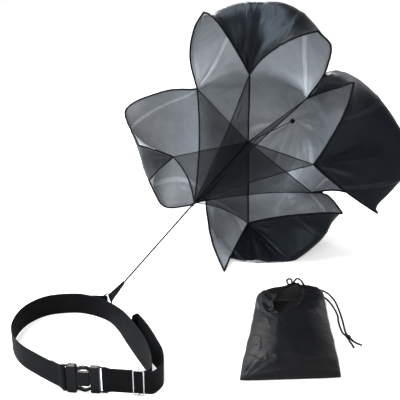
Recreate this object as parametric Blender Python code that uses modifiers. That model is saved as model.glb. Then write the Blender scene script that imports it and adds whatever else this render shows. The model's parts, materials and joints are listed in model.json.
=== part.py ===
"""Speed parachute: a cross canopy on net fins, its tow cord, a waist belt and a drawstring bag.

Metres, +Z up, standing on the floor at z = 0. The runner faces -Y, and the canopy lies behind the belt.
"""
import math

import bmesh
import bpy
from mathutils import Matrix, Vector

# Fits
GAP = 0.0003
OVERRUN = 0.002

# Webbing and waist loop
WEBBING_WIDTH = 0.050
WEBBING_THICKNESS = 0.0016
WAIST_LOOP = 0.330
FRONT_LIFT = 0.004
FOLD_BACK = 0.034
FRONT_ANGLE = math.radians(-6.0)
BUCKLE_START_SHARES = (-0.076, -0.512)
WAIST_PATH_SHARES = (
    (0.422, -0.548), (0.430, -0.480), (0.410, -0.380), (0.360, -0.258), (0.262, -0.040), (0.165, 0.165),
    (0.061, 0.297), (-0.085, 0.382), (-0.210, 0.394), (-0.350, 0.355), (-0.449, 0.240),
    (-0.488, 0.090), (-0.476, -0.080), (-0.390, -0.245), (-0.255, -0.372),
)
TAIL_PATH_SHARES = (
    (0.450, -0.560), (0.498, -0.470), (0.478, -0.350), (0.420, -0.225), (0.348, -0.045), (0.292, 0.068),
    (0.2775, 0.0945), (0.2660, 0.0960), (0.2440, 0.0745),
)
LEAN = 0.015
LEAN_HEADING = math.radians(26.0)
LEAN_X_SHARES = (0.06, 0.26)
LEAN_Y_SHARES = (-0.50, -0.16)
LEAN_MIDDLE_SHARE = 0.30

# Side-release buckle, along the strap from the bar of its socket
BUCKLE_HEIGHT = 0.058
BUCKLE_THICKNESS = 0.0125
BUCKLE_WALL = 0.0021
BUCKLE_ROUNDING = 0.0022
BAR_RADIUS = 0.0021
RUNNING_GAP = 0.0004
WEBBING_EDGE = 0.0006
RAIL_ROUNDING = 0.0008
EYE_RUN = 0.012
SOCKET_LIP = 0.0027
SHOULDER_CORNER = 0.004
NECK_STEP = 0.0012
PLUG_STEP = 0.0008
PLUG_CORNER = 0.003
PLUG_ROUNDING = 0.0014
SHOULDER_LENGTH = 0.027
NECK_END = 0.052
NECK_HEIGHT = 0.030
SOCKET_SLOT = 0.0078
PLUG_START = 0.0532
PLUG_BAR = 0.0835
PLUG_SLOT_START = 0.0718
PLUG_THICKNESS = 0.0095
PRONG_THICKNESS = 0.0062
PRONG_WIDTH = 0.0054
PRONG_ROOT = 0.0208
PRONG_TIP_PLACE = 0.0145
PRONG_GATE = 0.0250
PRONG_ROUNDING = 0.0006
TONGUE_WIDTH = 0.0085
TONGUE_REACH = 0.020
PRONG_PIVOT_PLACE = 0.0538
PRONG_OUTER_SHARES = (
    (0.04, 0.815), (0.12, 0.885), (0.24, 0.945), (0.38, 0.950), (0.52, 0.890), (0.64, 0.840),
    (0.745, 0.826), (0.775, 0.902), (0.85, 0.880), (1.00, 0.745),
)
PRONG_INNER_SHARES = (
    (1.00, 0.670), (0.80, 0.650), (0.60, 0.645), (0.38, 0.735), (0.22, 0.740), (0.10, 0.665),
)

# Wire adjuster on the front strap
ADJUSTER_PLACE_SHARE = 0.4425
ADJUSTER_PLACE = ADJUSTER_PLACE_SHARE * WAIST_LOOP
ADJUSTER_LENGTH = 0.020
ADJUSTER_HEIGHT = 0.0559
ADJUSTER_WIRE = 0.00125
ADJUSTER_CORNER = 0.003

# Ring, keeper and tow tab at the rear of the belt
RING_PLACE_SHARES = (0.050, 0.394)
RING_HEIGHT = 0.025
RING_RADIUS = 0.0217
RING_WIRE = 0.00175
RING_LEG = 0.002
KEEPER_WIDTH = 0.0385
KEEPER_SHARES = ((-0.030, 0.4010), (-0.090, 0.4005), (-0.145, 0.4085), (-0.205, 0.4060))
KEEPER_STEP = 0.004
RING_STEPS = 16
TOW_HEADING = math.radians(56.9)
TOW_RISE = math.radians(19.6)
TAB_WIDTH = 0.019
TAB_LENGTH = 0.051
TAB_SOLE = 0.0032
TAB_EYE_LENGTH = 0.0085
TAB_TIP_SHARE = 0.42
HOLE_CORNER_SHARE = 0.95

# Tow cord
TOW_CORD_RADIUS = 0.0015
TIP_KNOT_RADIUS = 0.0042
TIP_KNOT_LENGTH = 0.013

# Canopy, in a frame whose Y runs back along the tow line
PANEL_SIDE = 0.420
CLOTH = 0.0009
SEAM = 0.0007
HEM_RADIUS = 0.0018
HEM_LAP = 0.0008
HEM_CORNER = 0.010
HEM_TIP = 0.0062
TOW_LENGTH = 0.696
NET_LENGTH_SHARE = 0.725
NET_THICKNESS = 0.0006
NET_TAPE_RADIUS = 0.0026
NET_CLEAR = 0.006
NET_HOLD = 0.0006
NET_TIP_WIDTH = 0.0012
APEX_PATCH = 0.020
APEX_CORD_RADIUS = 0.0012
APEX_SHARES = (0.16, 0.38, -0.03)
CORNER_SHARES = {
    "top_left": (-0.34, 0.00, 0.38), "top_right": (0.49, 0.00, 0.41),
    "bottom_right": (0.45, 0.00, -0.34), "bottom_left": (-0.31, -0.21, -0.42),
}
ROOT_SHARES = {
    "top": (0.07, 0.17, 0.45), "right": (0.52, 0.18, 0.02),
    "bottom": (0.07, 0.03, -0.46), "left": (-0.38, 0.06, -0.02),
}
TIP_SHARES = {
    "top": (0.22, -0.19, 0.65), "right": (0.64, -0.29, 0.13),
    "bottom": (0.19, -0.45, -0.33), "left": (-0.39, -0.36, 0.04),
}
LOBE_SHARES = {
    "top": {
        "rims": (((-0.40, 0.07, 0.56), (-0.28, 0.00, 0.80), (-0.07, -0.14, 1.01)),
                 ((0.59, 0.07, 0.56), (0.68, 0.00, 0.78), (0.71, -0.21, 0.98))),
        "crest": ((0.14, 0.16, 0.80), (0.25, 0.00, 1.03)),
        "lip": ((0.07, -0.17, 0.93), (0.47, -0.24, 0.88)),
        "billow": (0.085, 0.085), "ridge": (0, 0), "slack": (0, 0),
    },
    "right": {
        "rims": (((0.63, -0.05, 0.50), (0.82, -0.21, 0.65), (0.96, -0.36, 0.77)),
                 ((0.69, -0.125, -0.18), (0.895, -0.22, -0.12), (1.04, -0.31, -0.14))),
        "crest": ((0.86, 0.10, 0.13), (1.18, -0.12, 0.22)),
        "lip": ((0.84, -0.31, 0.47), (0.81, -0.31, 0.01)),
        "billow": (0.000, 0.085), "ridge": (0.155, 0), "slack": (0, 0),
    },
    "bottom": {
        "rims": (((0.53, 0.00, -0.323), (0.67, -0.14, -0.253), (0.79, -0.317, -0.188)),
                 ((-0.14, -0.45, -0.35), (0.06, -0.71, -0.33), (0.28, -0.93, -0.32))),
        "crest": ((0.44, -0.24, -0.56), (0.57, -0.58, -0.43)),
        "lip": ((0.51, -0.43, -0.20), (0.22, -0.69, -0.34)),
        "billow": (0.070, 0.100), "ridge": (0, 0), "slack": (0, HEM_LAP),
    },
    "left": {
        "rims": (((-0.48, -0.26, -0.49), (-0.63, -0.33, -0.47), (-0.64, -0.40, -0.19)),
                 ((-0.67, 0.00, 0.31), (-0.92, -0.14, 0.21), (-0.66, -0.38, 0.10))),
        "crest": ((-0.70, -0.02, -0.06), (-0.76, -0.29, -0.08)),
        "lip": ((-0.52, -0.38, -0.08), (-0.52, -0.38, 0.09)),
        "billow": (0.060, 0.060), "ridge": (0, 0), "slack": (0, HEM_LAP),
    },
}
RIDGE_SIDE_SHARE = 0.60
RIDGE_ROOT_SHARE = 0.60
LOBE_CORNERS = {
    "top": ("top_left", "top_right"), "right": ("top_right", "bottom_right"),
    "bottom": ("bottom_right", "bottom_left"), "left": ("bottom_left", "top_left"),
}

# Storage bag, lying on the floor
BAG_WIDTH = 0.200
BAG_LENGTH = 0.331
BAG_LEAN_SHARE = 0.173
BAG_THICKNESS = 0.030
BAG_PLACE_SHARES = (1.249, -0.410)
BAG_ANGLE = math.radians(3.0)
BAG_ROW_SHARES = (
    (0.000, 1.00, 0.20), (0.035, 1.00, 0.48), (0.160, 0.99, 0.85), (0.350, 0.945, 1.00), (0.560, 0.88, 1.00),
    (0.740, 0.82, 0.95), (0.880, 0.77, 0.88), (0.940, 0.64, 0.92), (0.975, 0.44, 1.05), (1.000, 0.30, 1.10),
)
BAG_MOUTH_DEPTH = 0.050
BAG_MOUTH_WIDTH = 0.042
BAG_MOUTH_HEIGHT = 0.016
BAG_MOUTH_ROUNDING = 0.003
BAG_SECTION_SHARES = (
    (-0.93, 0), (-0.55, 0), (0, 0), (0.55, 0), (0.93, 0), (1.00, 0.20), (0.93, 0.46), (0.72, 0.78),
    (0.38, 0.97), (0, 1.00), (-0.38, 0.97), (-0.72, 0.78), (-0.93, 0.46), (-1.00, 0.20),
)
STRING_RADIUS = 0.00125
STRING_KNOT_RADIUS = 0.0046
STRING_ROUTES = {
    "drawstring_upper_strand": (
        (0.4891, 0.1917, 0.0195), (0.4935, 0.1995, 0.0215), (0.500, 0.214, 0.0205), (0.506, 0.232, 0.0120),
        (0.516, 0.243, 0.0036),
        (0.530, 0.242, 0.0014), (0.543, 0.229, 0.0014), (0.552, 0.206, 0.0014), (0.557, 0.178, 0.0014),
        (0.558, 0.150, 0.0014), (0.558, 0.120, 0.0014), (0.557, 0.090, 0.0014), (0.555, 0.060, 0.0014),
        (0.554, 0.038, 0.0016), (0.5553, 0.0209, 0.0042),
    ),
    "drawstring_lower_strand": (
        (0.4946, 0.1913, 0.0144), (0.501, 0.201, 0.0125), (0.508, 0.209, 0.0070), (0.519, 0.214, 0.0022),
        (0.530, 0.209, 0.0014), (0.539, 0.193, 0.0014), (0.545, 0.170, 0.0014), (0.549, 0.142, 0.0014),
        (0.550, 0.114, 0.0014), (0.547, 0.086, 0.0014), (0.546, 0.058, 0.0014), (0.5475, 0.036, 0.0016),
        (0.5524, 0.0200, 0.0042),
    ),
}
STRING_ENDS = {
    "drawstring_upper_end": ((0.5585, 0.0114, 0.0040), (0.563, 0.004, 0.0018), (0.569, -0.004, 0.0014),
                             (0.577, -0.010, 0.0014)),
    "drawstring_lower_end": ((0.5547, 0.0102, 0.0040), (0.5555, 0.001, 0.0018), (0.558, -0.009, 0.0014),
                             (0.559, -0.020, 0.0014)),
}
STRING_KNOT_PLACE = (0.5550, 0.0155, 0.0048)

# Detail counts
EYE_STEPS = 12
PRONG_STEPS = 6
TAB_STEPS = 8
LEG_STEPS = 4
SPAN_STEPS = 5
MITRE_LIMIT_SHARE = 0.20
CORD_STEPS = 4
TOW_CORD_STEPS = 24
LOBE_STEPS = 16
LOBE_REACH_STEPS = 14
NET_STEPS = 8
NET_SPAN_STEPS = 4
PATCH_STEPS = 2

PARTS = None
CUTTERS = None
FRAME = None


def material(name, colour, roughness, metallic=0.0):
    """A plain Principled material, one for each sub-part."""
    made = bpy.data.materials.new(name)
    made.use_nodes = True
    shader = made.node_tree.nodes["Principled BSDF"]
    shader.inputs["Base Color"].default_value = (*colour, 1.0)
    shader.inputs["Roughness"].default_value = roughness
    shader.inputs["Metallic"].default_value = metallic
    return made


BLACK_NYLON = (0.012, 0.013, 0.016)
BLACK_PLASTIC = (0.009, 0.009, 0.010)
STEEL = (0.62, 0.62, 0.64)
NET_BLACK = (0.010, 0.010, 0.012)
CORD_GREY = (0.060, 0.060, 0.065)
WEBBING_ROUGHNESS = 0.75
CLOTH_ROUGHNESS = 0.45
PLASTIC_ROUGHNESS = 0.40
METAL_ROUGHNESS = 0.25
LAYER = WEBBING_THICKNESS + GAP


def clear_scene():
    """Remove what the scene holds and make the collections and the frame that carries the set."""
    global PARTS, CUTTERS, FRAME
    for item in list(bpy.data.objects):
        bpy.data.objects.remove(item, do_unlink=True)
    PARTS = bpy.data.collections.new("speed_parachute")
    CUTTERS = bpy.data.collections.new("cutters")
    for group in (PARTS, CUTTERS):
        bpy.context.scene.collection.children.link(group)
    FRAME = empty("set_frame", None)


def empty(name, parent, place=(0, 0, 0), turn=None):
    """A named pivot; turn is a rotation matrix."""
    pivot = bpy.data.objects.new(name, None)
    PARTS.objects.link(pivot)
    pivot.parent = parent
    matrix = turn.to_4x4() if turn else Matrix()
    pivot.matrix_local = Matrix.Translation(place) @ matrix
    return pivot


def add(name, data, parent, colour, roughness, metallic=0.0):
    """Link one sub-part under its pivot, with its own material."""
    item = bpy.data.objects.new(name, data)
    PARTS.objects.link(item)
    item.parent = parent
    data.materials.append(material(name, colour, roughness, metallic))
    return item


def smooth(item):
    """Shade a rounded piece smooth and keep its real edges sharp."""
    item.data.shade_smooth()
    item.data.set_sharp_from_angle(angle=math.radians(35))


def spline(points, steps=SPAN_STEPS):
    """Points along one smooth Catmull-Rom curve through the given ones."""
    knots = [Vector(p) for p in points]
    padded = [knots[0] * 2 - knots[1], *knots, knots[-1] * 2 - knots[-2]]
    line = []
    for i in range(1, len(padded) - 2):
        a, b, c, d = padded[i - 1:i + 3]
        for k in range(steps):
            t = k / steps
            line.append(b + (c - a) * (t / 2) + (a * 2 - b * 5 + c * 4 - d) * (t * t / 2)
                        + (b * 3 - a - c * 3 + d) * (t * t * t / 2))
    line.append(knots[-1])
    return line


def along(points, share):
    """The point at a share of the knots of a smooth curve."""
    knots = [Vector(p) for p in points]
    place = share * (len(knots) - 1)
    i = min(int(place), len(knots) - 2)
    t = place - i
    a = knots[i - 1] if i else knots[0] * 2 - knots[1]
    b, c = knots[i], knots[i + 1]
    d = knots[i + 2] if i + 2 < len(knots) else knots[-1] * 2 - knots[-2]
    return (b + (c - a) * (t / 2) + (a * 2 - b * 5 + c * 4 - d) * (t * t / 2)
            + (b * 3 - a - c * 3 + d) * (t * t * t / 2))


def sheet(name, columns, rows, place, thickness, parent, colour, roughness):
    """An open sheet laid by place(i, j), thickened evenly about its middle."""
    bm = bmesh.new()
    bmesh.ops.create_grid(bm, x_segments=columns, y_segments=rows, size=0.5)
    for vert in bm.verts:
        i = round((vert.co.x + 0.5) * columns)
        j = round((vert.co.y + 0.5) * rows)
        vert.co = place(i, j)
    mesh = bpy.data.meshes.new(name)
    bm.to_mesh(mesh)
    bm.free()
    item = add(name, mesh, parent, colour, roughness)
    shell = item.modifiers.new("thickness", "SOLIDIFY")
    shell.thickness = thickness
    shell.offset = 0
    return item


def tube(name, points, radius, parent, colour, roughness, metallic=0.0, sides=2):
    """A round cord or wire along a polyline, with flat ends."""
    curve = bpy.data.curves.new(name, "CURVE")
    curve.dimensions = "3D"
    curve.bevel_depth = radius
    curve.bevel_resolution = sides
    curve.use_fill_caps = True
    run = curve.splines.new("POLY")
    run.points.add(len(points) - 1)
    for knot, point in zip(run.points, points):
        knot.co = (*point, 1.0)
    return add(name, curve, parent, colour, roughness, metallic)


def outline(name, loops, depth, parent, colour, roughness):
    """A flat outline with holes, thickened about its plane; loops hold (x, y) points."""
    curve = bpy.data.curves.new(name, "CURVE")
    curve.dimensions = "2D"
    curve.fill_mode = "BOTH"
    curve.extrude = depth / 2
    for points in loops:
        run = curve.splines.new("POLY")
        run.points.add(len(points) - 1)
        for knot, point in zip(run.points, points):
            knot.co = (point[0], point[1], 0, 1.0)
        run.use_cyclic_u = True
    return add(name, curve, parent, colour, roughness)


def as_mesh(item):
    """Swap a curve object for the closed mesh it shows."""
    bpy.context.view_layer.update()
    graph = bpy.context.evaluated_depsgraph_get()
    mesh = bpy.data.meshes.new_from_object(item.evaluated_get(graph))
    bm = bmesh.new()
    bm.from_mesh(mesh)
    bmesh.ops.remove_doubles(bm, verts=bm.verts, dist=GAP / 30)
    bmesh.ops.recalc_face_normals(bm, faces=bm.faces)
    bm.to_mesh(mesh)
    bm.free()
    name = item.name
    parent = item.parent
    matrix = item.matrix_local.copy()
    bpy.data.objects.remove(item)
    made = bpy.data.objects.new(name, mesh)
    PARTS.objects.link(made)
    made.parent = parent
    made.matrix_local = matrix
    return made


def cut(item, cutter, operation="DIFFERENCE"):
    """Cut or join a piece by a hidden shape."""
    PARTS.objects.unlink(cutter)
    CUTTERS.objects.link(cutter)
    cutter.hide_render = True
    cutter.display_type = "WIRE"
    step = item.modifiers.new(cutter.name, "BOOLEAN")
    step.operation = operation
    step.object = cutter


def block(name, low, high, parent, rounding=0.0):
    """A box between two corners, with rounded edges."""
    low, high = Vector(low), Vector(high)
    bm = bmesh.new()
    bmesh.ops.create_cube(bm, size=1.0)
    for vert in bm.verts:
        vert.co = [low[k] + (high[k] - low[k]) * (vert.co[k] + 0.5) for k in range(3)]
    mesh = bpy.data.meshes.new(name)
    bm.to_mesh(mesh)
    bm.free()
    item = add(name, mesh, parent, BLACK_PLASTIC, PLASTIC_ROUGHNESS)
    if rounding:
        bevel = item.modifiers.new("rounding", "BEVEL")
        bevel.width = rounding
        bevel.segments = 2
    return item


def post(name, radius, height, parent, place, axis="Z", sides=20):
    """A plain cylinder about a place, standing along one axis."""
    bm = bmesh.new()
    bmesh.ops.create_cone(bm, cap_ends=True, segments=sides, radius1=radius, radius2=radius, depth=height)
    if axis != "Z":
        turn = Matrix.Rotation(math.pi / 2, 4, "Y" if axis == "X" else "X")
        bmesh.ops.transform(bm, matrix=turn, verts=bm.verts)
    mesh = bpy.data.meshes.new(name)
    bm.to_mesh(mesh)
    bm.free()
    item = add(name, mesh, parent, BLACK_PLASTIC, PLASTIC_ROUGHNESS)
    item.matrix_local = Matrix.Translation(place)
    return item


def rounded_box_outline(x0, x1, y0, y1, radius, steps=4):
    """A rectangle with round corners, as a list of points."""
    points = []
    corners = ((x1 - radius, y1 - radius, 0), (x0 + radius, y1 - radius, 1),
               (x0 + radius, y0 + radius, 2), (x1 - radius, y0 + radius, 3))
    for cx, cy, quarter in corners:
        for k in range(steps + 1):
            angle = (quarter + k / steps) * math.pi / 2
            points.append((cx + radius * math.cos(angle), cy + radius * math.sin(angle)))
    return points


# Waist belt

def waist(share):
    """A plan point of the belt from its share of the waist loop."""
    return Vector((share[0] * WAIST_LOOP, share[1] * WAIST_LOOP, 0))


def front(u, w=0.0):
    """A plan point on the straight front strap, w outwards from it."""
    run = Vector((math.cos(FRONT_ANGLE), math.sin(FRONT_ANGLE), 0))
    out = Vector((math.sin(FRONT_ANGLE), -math.cos(FRONT_ANGLE), 0))
    return waist(BUCKLE_START_SHARES) + run * u + out * w


def lift(point):
    """Height of the belt's lower edge: the buckle's overhang at the front, nothing at the rear."""
    rear = max(share[1] for share in WAIST_PATH_SHARES) * WAIST_LOOP
    depth = rear - BUCKLE_START_SHARES[1] * WAIST_LOOP
    share = (rear - point.y) / depth
    return FRONT_LIFT * min(max(share, 0), 1)


def eased(value, limits):
    """0 at the first limit, 1 at the second, smooth between."""
    t = min(max((value - limits[0]) / (limits[1] - limits[0]), 0), 1)
    return t * t * (3 - t * 2)


def leaned(point):
    """The belt point moved out by the lean of its rear right, more towards its upper edge."""
    amount = eased(point.x / WAIST_LOOP, LEAN_X_SHARES) * eased(point.y / WAIST_LOOP, LEAN_Y_SHARES)
    amount *= LEAN * (point.z / WEBBING_WIDTH - LEAN_MIDDLE_SHARE)
    return point + Vector((math.cos(LEAN_HEADING), math.sin(LEAN_HEADING), 0)) * amount


def beside(path, i, distance):
    """Point i of a plan path moved to its right by a distance."""
    before = path[max(i - 1, 0)]
    after = path[min(i + 1, len(path) - 1)]
    run = (after - before).normalized()
    return path[i] + Vector((run.y, -run.x, 0)) * distance


def looped(path, bar_radius, right_reach, left_reach):
    """Webbing turned round a bar at the path's first point, as one plan line.

    It runs in along the left of the path, round the bar and out along the right,
    each side as far as its reach.
    """
    wide = bar_radius + GAP + WEBBING_THICKNESS / 2

    def side(sign, reach):
        line = []
        gone = 0
        for i, point in enumerate(path):
            if i:
                gone += (point - path[i - 1]).length
            if gone > reach:
                break
            near = (1 + math.cos(math.pi * min(gone / EYE_RUN, 1))) / 2
            line.append(beside(path, i, sign * (LAYER / 2 + (wide - LAYER / 2) * near)))
        return line

    right = side(1, right_reach)
    left = side(-1, left_reach)
    across = (right[0] - path[0]).normalized()
    ahead = Vector((across.y, -across.x, 0))
    if ahead.dot(path[1] - path[0]) > 0:
        ahead = -ahead
    arc = []
    for k in range(1, EYE_STEPS):
        angle = math.pi * k / EYE_STEPS
        arc.append(path[0] + across * (-wide * math.cos(angle)) + ahead * (wide * math.sin(angle)))
    return list(reversed(left)) + arc + right


def ribbon(name, path, width, rise, parent):
    """Webbing standing on its edge along a plan path; rise(point) is its lower edge."""
    def place(i, j):
        point = path[i]
        return leaned(Vector((point.x, point.y, rise(point) + width * j)))
    return sheet(name, len(path) - 1, 1, place, WEBBING_THICKNESS, parent, BLACK_NYLON, WEBBING_ROUGHNESS)


def dense(points, step):
    """A polyline with points no further apart than a step."""
    line = [points[0]]
    for a, b in zip(points, points[1:]):
        parts = max(1, math.ceil((b - a).length / step))
        line += [a.lerp(b, k / parts) for k in range(1, parts + 1)]
    return line


def make_belt():
    """The waist webbing, its adjusting strap, and the loose tail outside it."""
    split = ADJUSTER_PLACE - ADJUSTER_LENGTH / 2
    corner = ADJUSTER_PLACE + ADJUSTER_LENGTH / 2
    knots = [waist(share) for share in WAIST_PATH_SHARES]
    around = spline([front(corner, -LAYER), *knots, front(0)])
    near = dense(list(reversed(around))[:SPAN_STEPS + 1], EYE_RUN / 6)
    rest = list(reversed(around))[SPAN_STEPS + 1:]
    path = near + rest + [front(split + GAP, -LAYER)]
    whole = WAIST_LOOP * 4
    ribbon("waist_webbing", looped(path, BAR_RADIUS, FOLD_BACK, whole), WEBBING_WIDTH, lift, FRAME)

    line = dense([front(PLUG_BAR), front(PLUG_BAR + EYE_RUN)], EYE_RUN / 6) + [front(split)]
    reach = (split - PLUG_BAR) + GAP
    ribbon("adjusting_strap", looped(line, BAR_RADIUS, reach, reach), WEBBING_WIDTH, lift, FRAME)

    tail = [front(split + GAP, LAYER / 2), front(ADJUSTER_PLACE, LAYER / 2)]
    tail += spline([front(corner, LAYER / 2)] + [waist(share) for share in TAIL_PATH_SHARES])
    ribbon("webbing_tail", tail, WEBBING_WIDTH, lift, FRAME)


# Buckle, in a frame with X along the strap, Y towards the wearer and Z up

def upright(name, loops, depth, parent, rounding=0.0, centre=(0, 0, 0)):
    """A flat outline in the frame's XZ plane, made a mesh, with rounded edges."""
    item = outline(name, loops, depth, parent, BLACK_PLASTIC, PLASTIC_ROUGHNESS)
    item.matrix_local = Matrix.Translation(centre) @ Matrix.Rotation(math.pi / 2, 4, "X")
    item = as_mesh(item)
    if rounding:
        bevel = item.modifiers.new("rounding", "BEVEL")
        bevel.width = rounding
        bevel.segments = 2
        bevel.limit_method = "ANGLE"
    return item


def strap_end(name, bar_at, body_at, half_height, parent):
    """A round bar and two rails that carry it, which hold the webbing."""
    low, high = sorted((bar_at, body_at))
    inner = WEBBING_WIDTH / 2 + WEBBING_EDGE
    rails = []
    for sign in (1, -1):
        z0, z1 = sorted((sign * inner, sign * half_height))
        rail = block(name + "_rail", (low, -BAR_RADIUS, z0), (high, BAR_RADIUS, z1), parent, RAIL_ROUNDING)
        rails.append(rail)
    bar = post(name + "_bar", BAR_RADIUS, half_height * 2, parent, (bar_at, 0, 0))
    return [*rails, bar]


def make_socket(parent):
    """The buckle's female half: shoulders with a pocket, a neck between the prongs, and a bar."""
    half = BUCKLE_HEIGHT / 2
    neck = NECK_HEIGHT / 2
    points = rounded_box_outline(SOCKET_SLOT, SHOULDER_LENGTH, -half, half, SHOULDER_CORNER)
    body = upright("buckle_socket", [points], BUCKLE_THICKNESS, parent, BUCKLE_ROUNDING)
    throat = block("socket_neck", (SHOULDER_LENGTH - OVERRUN, -BUCKLE_THICKNESS / 2 + NECK_STEP, -neck),
                   (NECK_END, BUCKLE_THICKNESS / 2 - NECK_STEP, neck), parent, BUCKLE_ROUNDING)
    cut(body, throat, "UNION")
    for piece in strap_end("socket_strap_end", 0, SOCKET_SLOT + OVERRUN, half, parent):
        cut(body, piece, "UNION")
    deep = BUCKLE_THICKNESS / 2 - BUCKLE_WALL
    inside = half - BUCKLE_WALL
    pocket = block("socket_pocket", (SOCKET_SLOT + BUCKLE_WALL, -deep, -inside),
                   (SHOULDER_LENGTH - SOCKET_LIP, deep, inside), parent)
    cut(body, pocket)
    for sign in (1, -1):
        z0, z1 = sorted((sign * neck, sign * PRONG_GATE))
        gate = block("socket_gate", (SHOULDER_LENGTH - SOCKET_LIP - OVERRUN, -deep, z0),
                     (SHOULDER_LENGTH + OVERRUN, deep, z1), parent)
        cut(body, gate)
    slide = TONGUE_WIDTH / 2 + RUNNING_GAP
    thick = PRONG_THICKNESS / 2 + RUNNING_GAP
    way = block("socket_way", (SHOULDER_LENGTH - SOCKET_LIP - OVERRUN, -thick, -slide),
                (NECK_END + OVERRUN, thick, slide), parent)
    cut(body, way)


def make_plug(parent):
    """The buckle's male half: a base with its strap bar, and the tongue that guides it."""
    half = BUCKLE_HEIGHT / 2 - PLUG_STEP
    points = rounded_box_outline(PLUG_START, PLUG_SLOT_START, -half, half, PLUG_CORNER)
    body = upright("buckle_plug", [points], PLUG_THICKNESS, parent, PLUG_ROUNDING)
    for piece in strap_end("plug_strap_end", PLUG_BAR, PLUG_SLOT_START - OVERRUN, half, parent):
        cut(body, piece, "UNION")
    tongue = block("plug_tongue", (PLUG_START - TONGUE_REACH, -PRONG_THICKNESS / 2, -TONGUE_WIDTH / 2),
                   (PLUG_START + OVERRUN, PRONG_THICKNESS / 2, TONGUE_WIDTH / 2), parent, RAIL_ROUNDING)
    cut(body, tongue, "UNION")
    for sign in (1, -1):
        seat = post("prong_seat", PRONG_WIDTH / 2 + RUNNING_GAP, PLUG_THICKNESS * 2, parent,
                    (PRONG_PIVOT_PLACE, 0, sign * PRONG_ROOT), "Y")
        cut(body, seat)


def make_prong(name, sign, parent):
    """One springy prong: root, thumb pad and barb, about its own pivot."""
    pivot = empty(name + "_pivot", parent, (PRONG_PIVOT_PLACE, 0, sign * PRONG_ROOT))
    reach = PRONG_PIVOT_PLACE - PRONG_TIP_PLACE
    half = BUCKLE_HEIGHT / 2
    points = []
    for k in range(PRONG_STEPS + 1):
        angle = -math.pi / 2 + math.pi * k / PRONG_STEPS
        points.append((PRONG_WIDTH / 2 * math.cos(angle), PRONG_WIDTH / 2 * math.sin(angle)))
    for along_share, height_share in (*PRONG_OUTER_SHARES, *PRONG_INNER_SHARES):
        points.append((-along_share * reach, height_share * half - PRONG_ROOT))
    if sign < 0:
        points = [(x, -z) for x, z in reversed(points)]
    upright(name, [points], PRONG_THICKNESS, pivot, PRONG_ROUNDING)


def make_adjuster(parent):
    """The wire adjuster: two bars over the strap and one behind it."""
    slide = empty("adjuster_slide", parent, (ADJUSTER_PLACE, 0, 0))
    over = LAYER / 2 + WEBBING_THICKNESS / 2 + GAP + ADJUSTER_WIRE
    half_length = ADJUSTER_LENGTH / 2
    half_height = ADJUSTER_HEIGHT / 2 - ADJUSTER_WIRE
    ring = rounded_box_outline(-half_length, half_length, -half_height, half_height, ADJUSTER_CORNER)
    points = [(x, -over, z) for x, z in ring]
    frame = tube("adjuster", points, ADJUSTER_WIRE, slide, STEEL, METAL_ROUGHNESS, 1.0)
    frame.data.splines[0].use_cyclic_u = True
    frame = as_mesh(frame)
    corners = ((-over, half_height), (over, half_height), (over, -half_height), (-over, -half_height))
    run = [(0, y, z) for y, z in corners]
    bar = as_mesh(tube("adjuster_bar", run, ADJUSTER_WIRE, slide, STEEL, METAL_ROUGHNESS, 1.0))
    cut(frame, bar, "UNION")


def make_buckle():
    """The buckle and the adjuster on the straight front of the belt."""
    place = front(0)
    place.z = FRONT_LIFT + WEBBING_WIDTH / 2
    stay = empty("buckle_frame", FRAME, place, Matrix.Rotation(FRONT_ANGLE, 3, "Z"))
    slide = empty("plug_slide", stay)
    make_socket(stay)
    make_plug(slide)
    make_prong("upper_prong", 1, slide)
    make_prong("lower_prong", -1, slide)
    make_adjuster(stay)


# Ring, keeper and tow tab

def make_keeper(bar):
    """A webbing loop sewn to the belt's rear, standing off it to hold the ring's bar."""
    knots = [waist(share) for share in KEEPER_SHARES]
    path = dense(spline([bar, *knots]), KEEPER_STEP)
    rise = RING_HEIGHT - KEEPER_WIDTH / 2
    long = WAIST_LOOP
    ribbon("ring_keeper", looped(path, RING_WIRE, long, long), KEEPER_WIDTH, lambda point: rise, FRAME)


def make_ring(parent):
    """A D-shaped wire ring, its straight bar on the pivot."""
    top = RING_RADIUS
    points = []
    for k in range(LEG_STEPS + 1):
        angle = math.pi - math.pi / 2 * k / LEG_STEPS
        points.append((0, RING_LEG * (1 + math.cos(angle)), top - RING_LEG * (1 - math.sin(angle))))
    for k in range(1, RING_STEPS + 1):
        angle = math.pi / 2 - math.pi * k / RING_STEPS
        points.append((0, RING_LEG + RING_RADIUS * math.cos(angle), RING_RADIUS * math.sin(angle)))
    for k in range(1, LEG_STEPS + 1):
        angle = -math.pi / 2 - math.pi / 2 * k / LEG_STEPS
        points.append((0, RING_LEG * (1 + math.cos(angle)), -top + RING_LEG * (1 + math.sin(angle))))
    ring = tube("tow_ring", points, RING_WIRE, parent, STEEL, METAL_ROUGHNESS, 1.0)
    ring.data.splines[0].use_cyclic_u = True
    smooth(as_mesh(ring))


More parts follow.
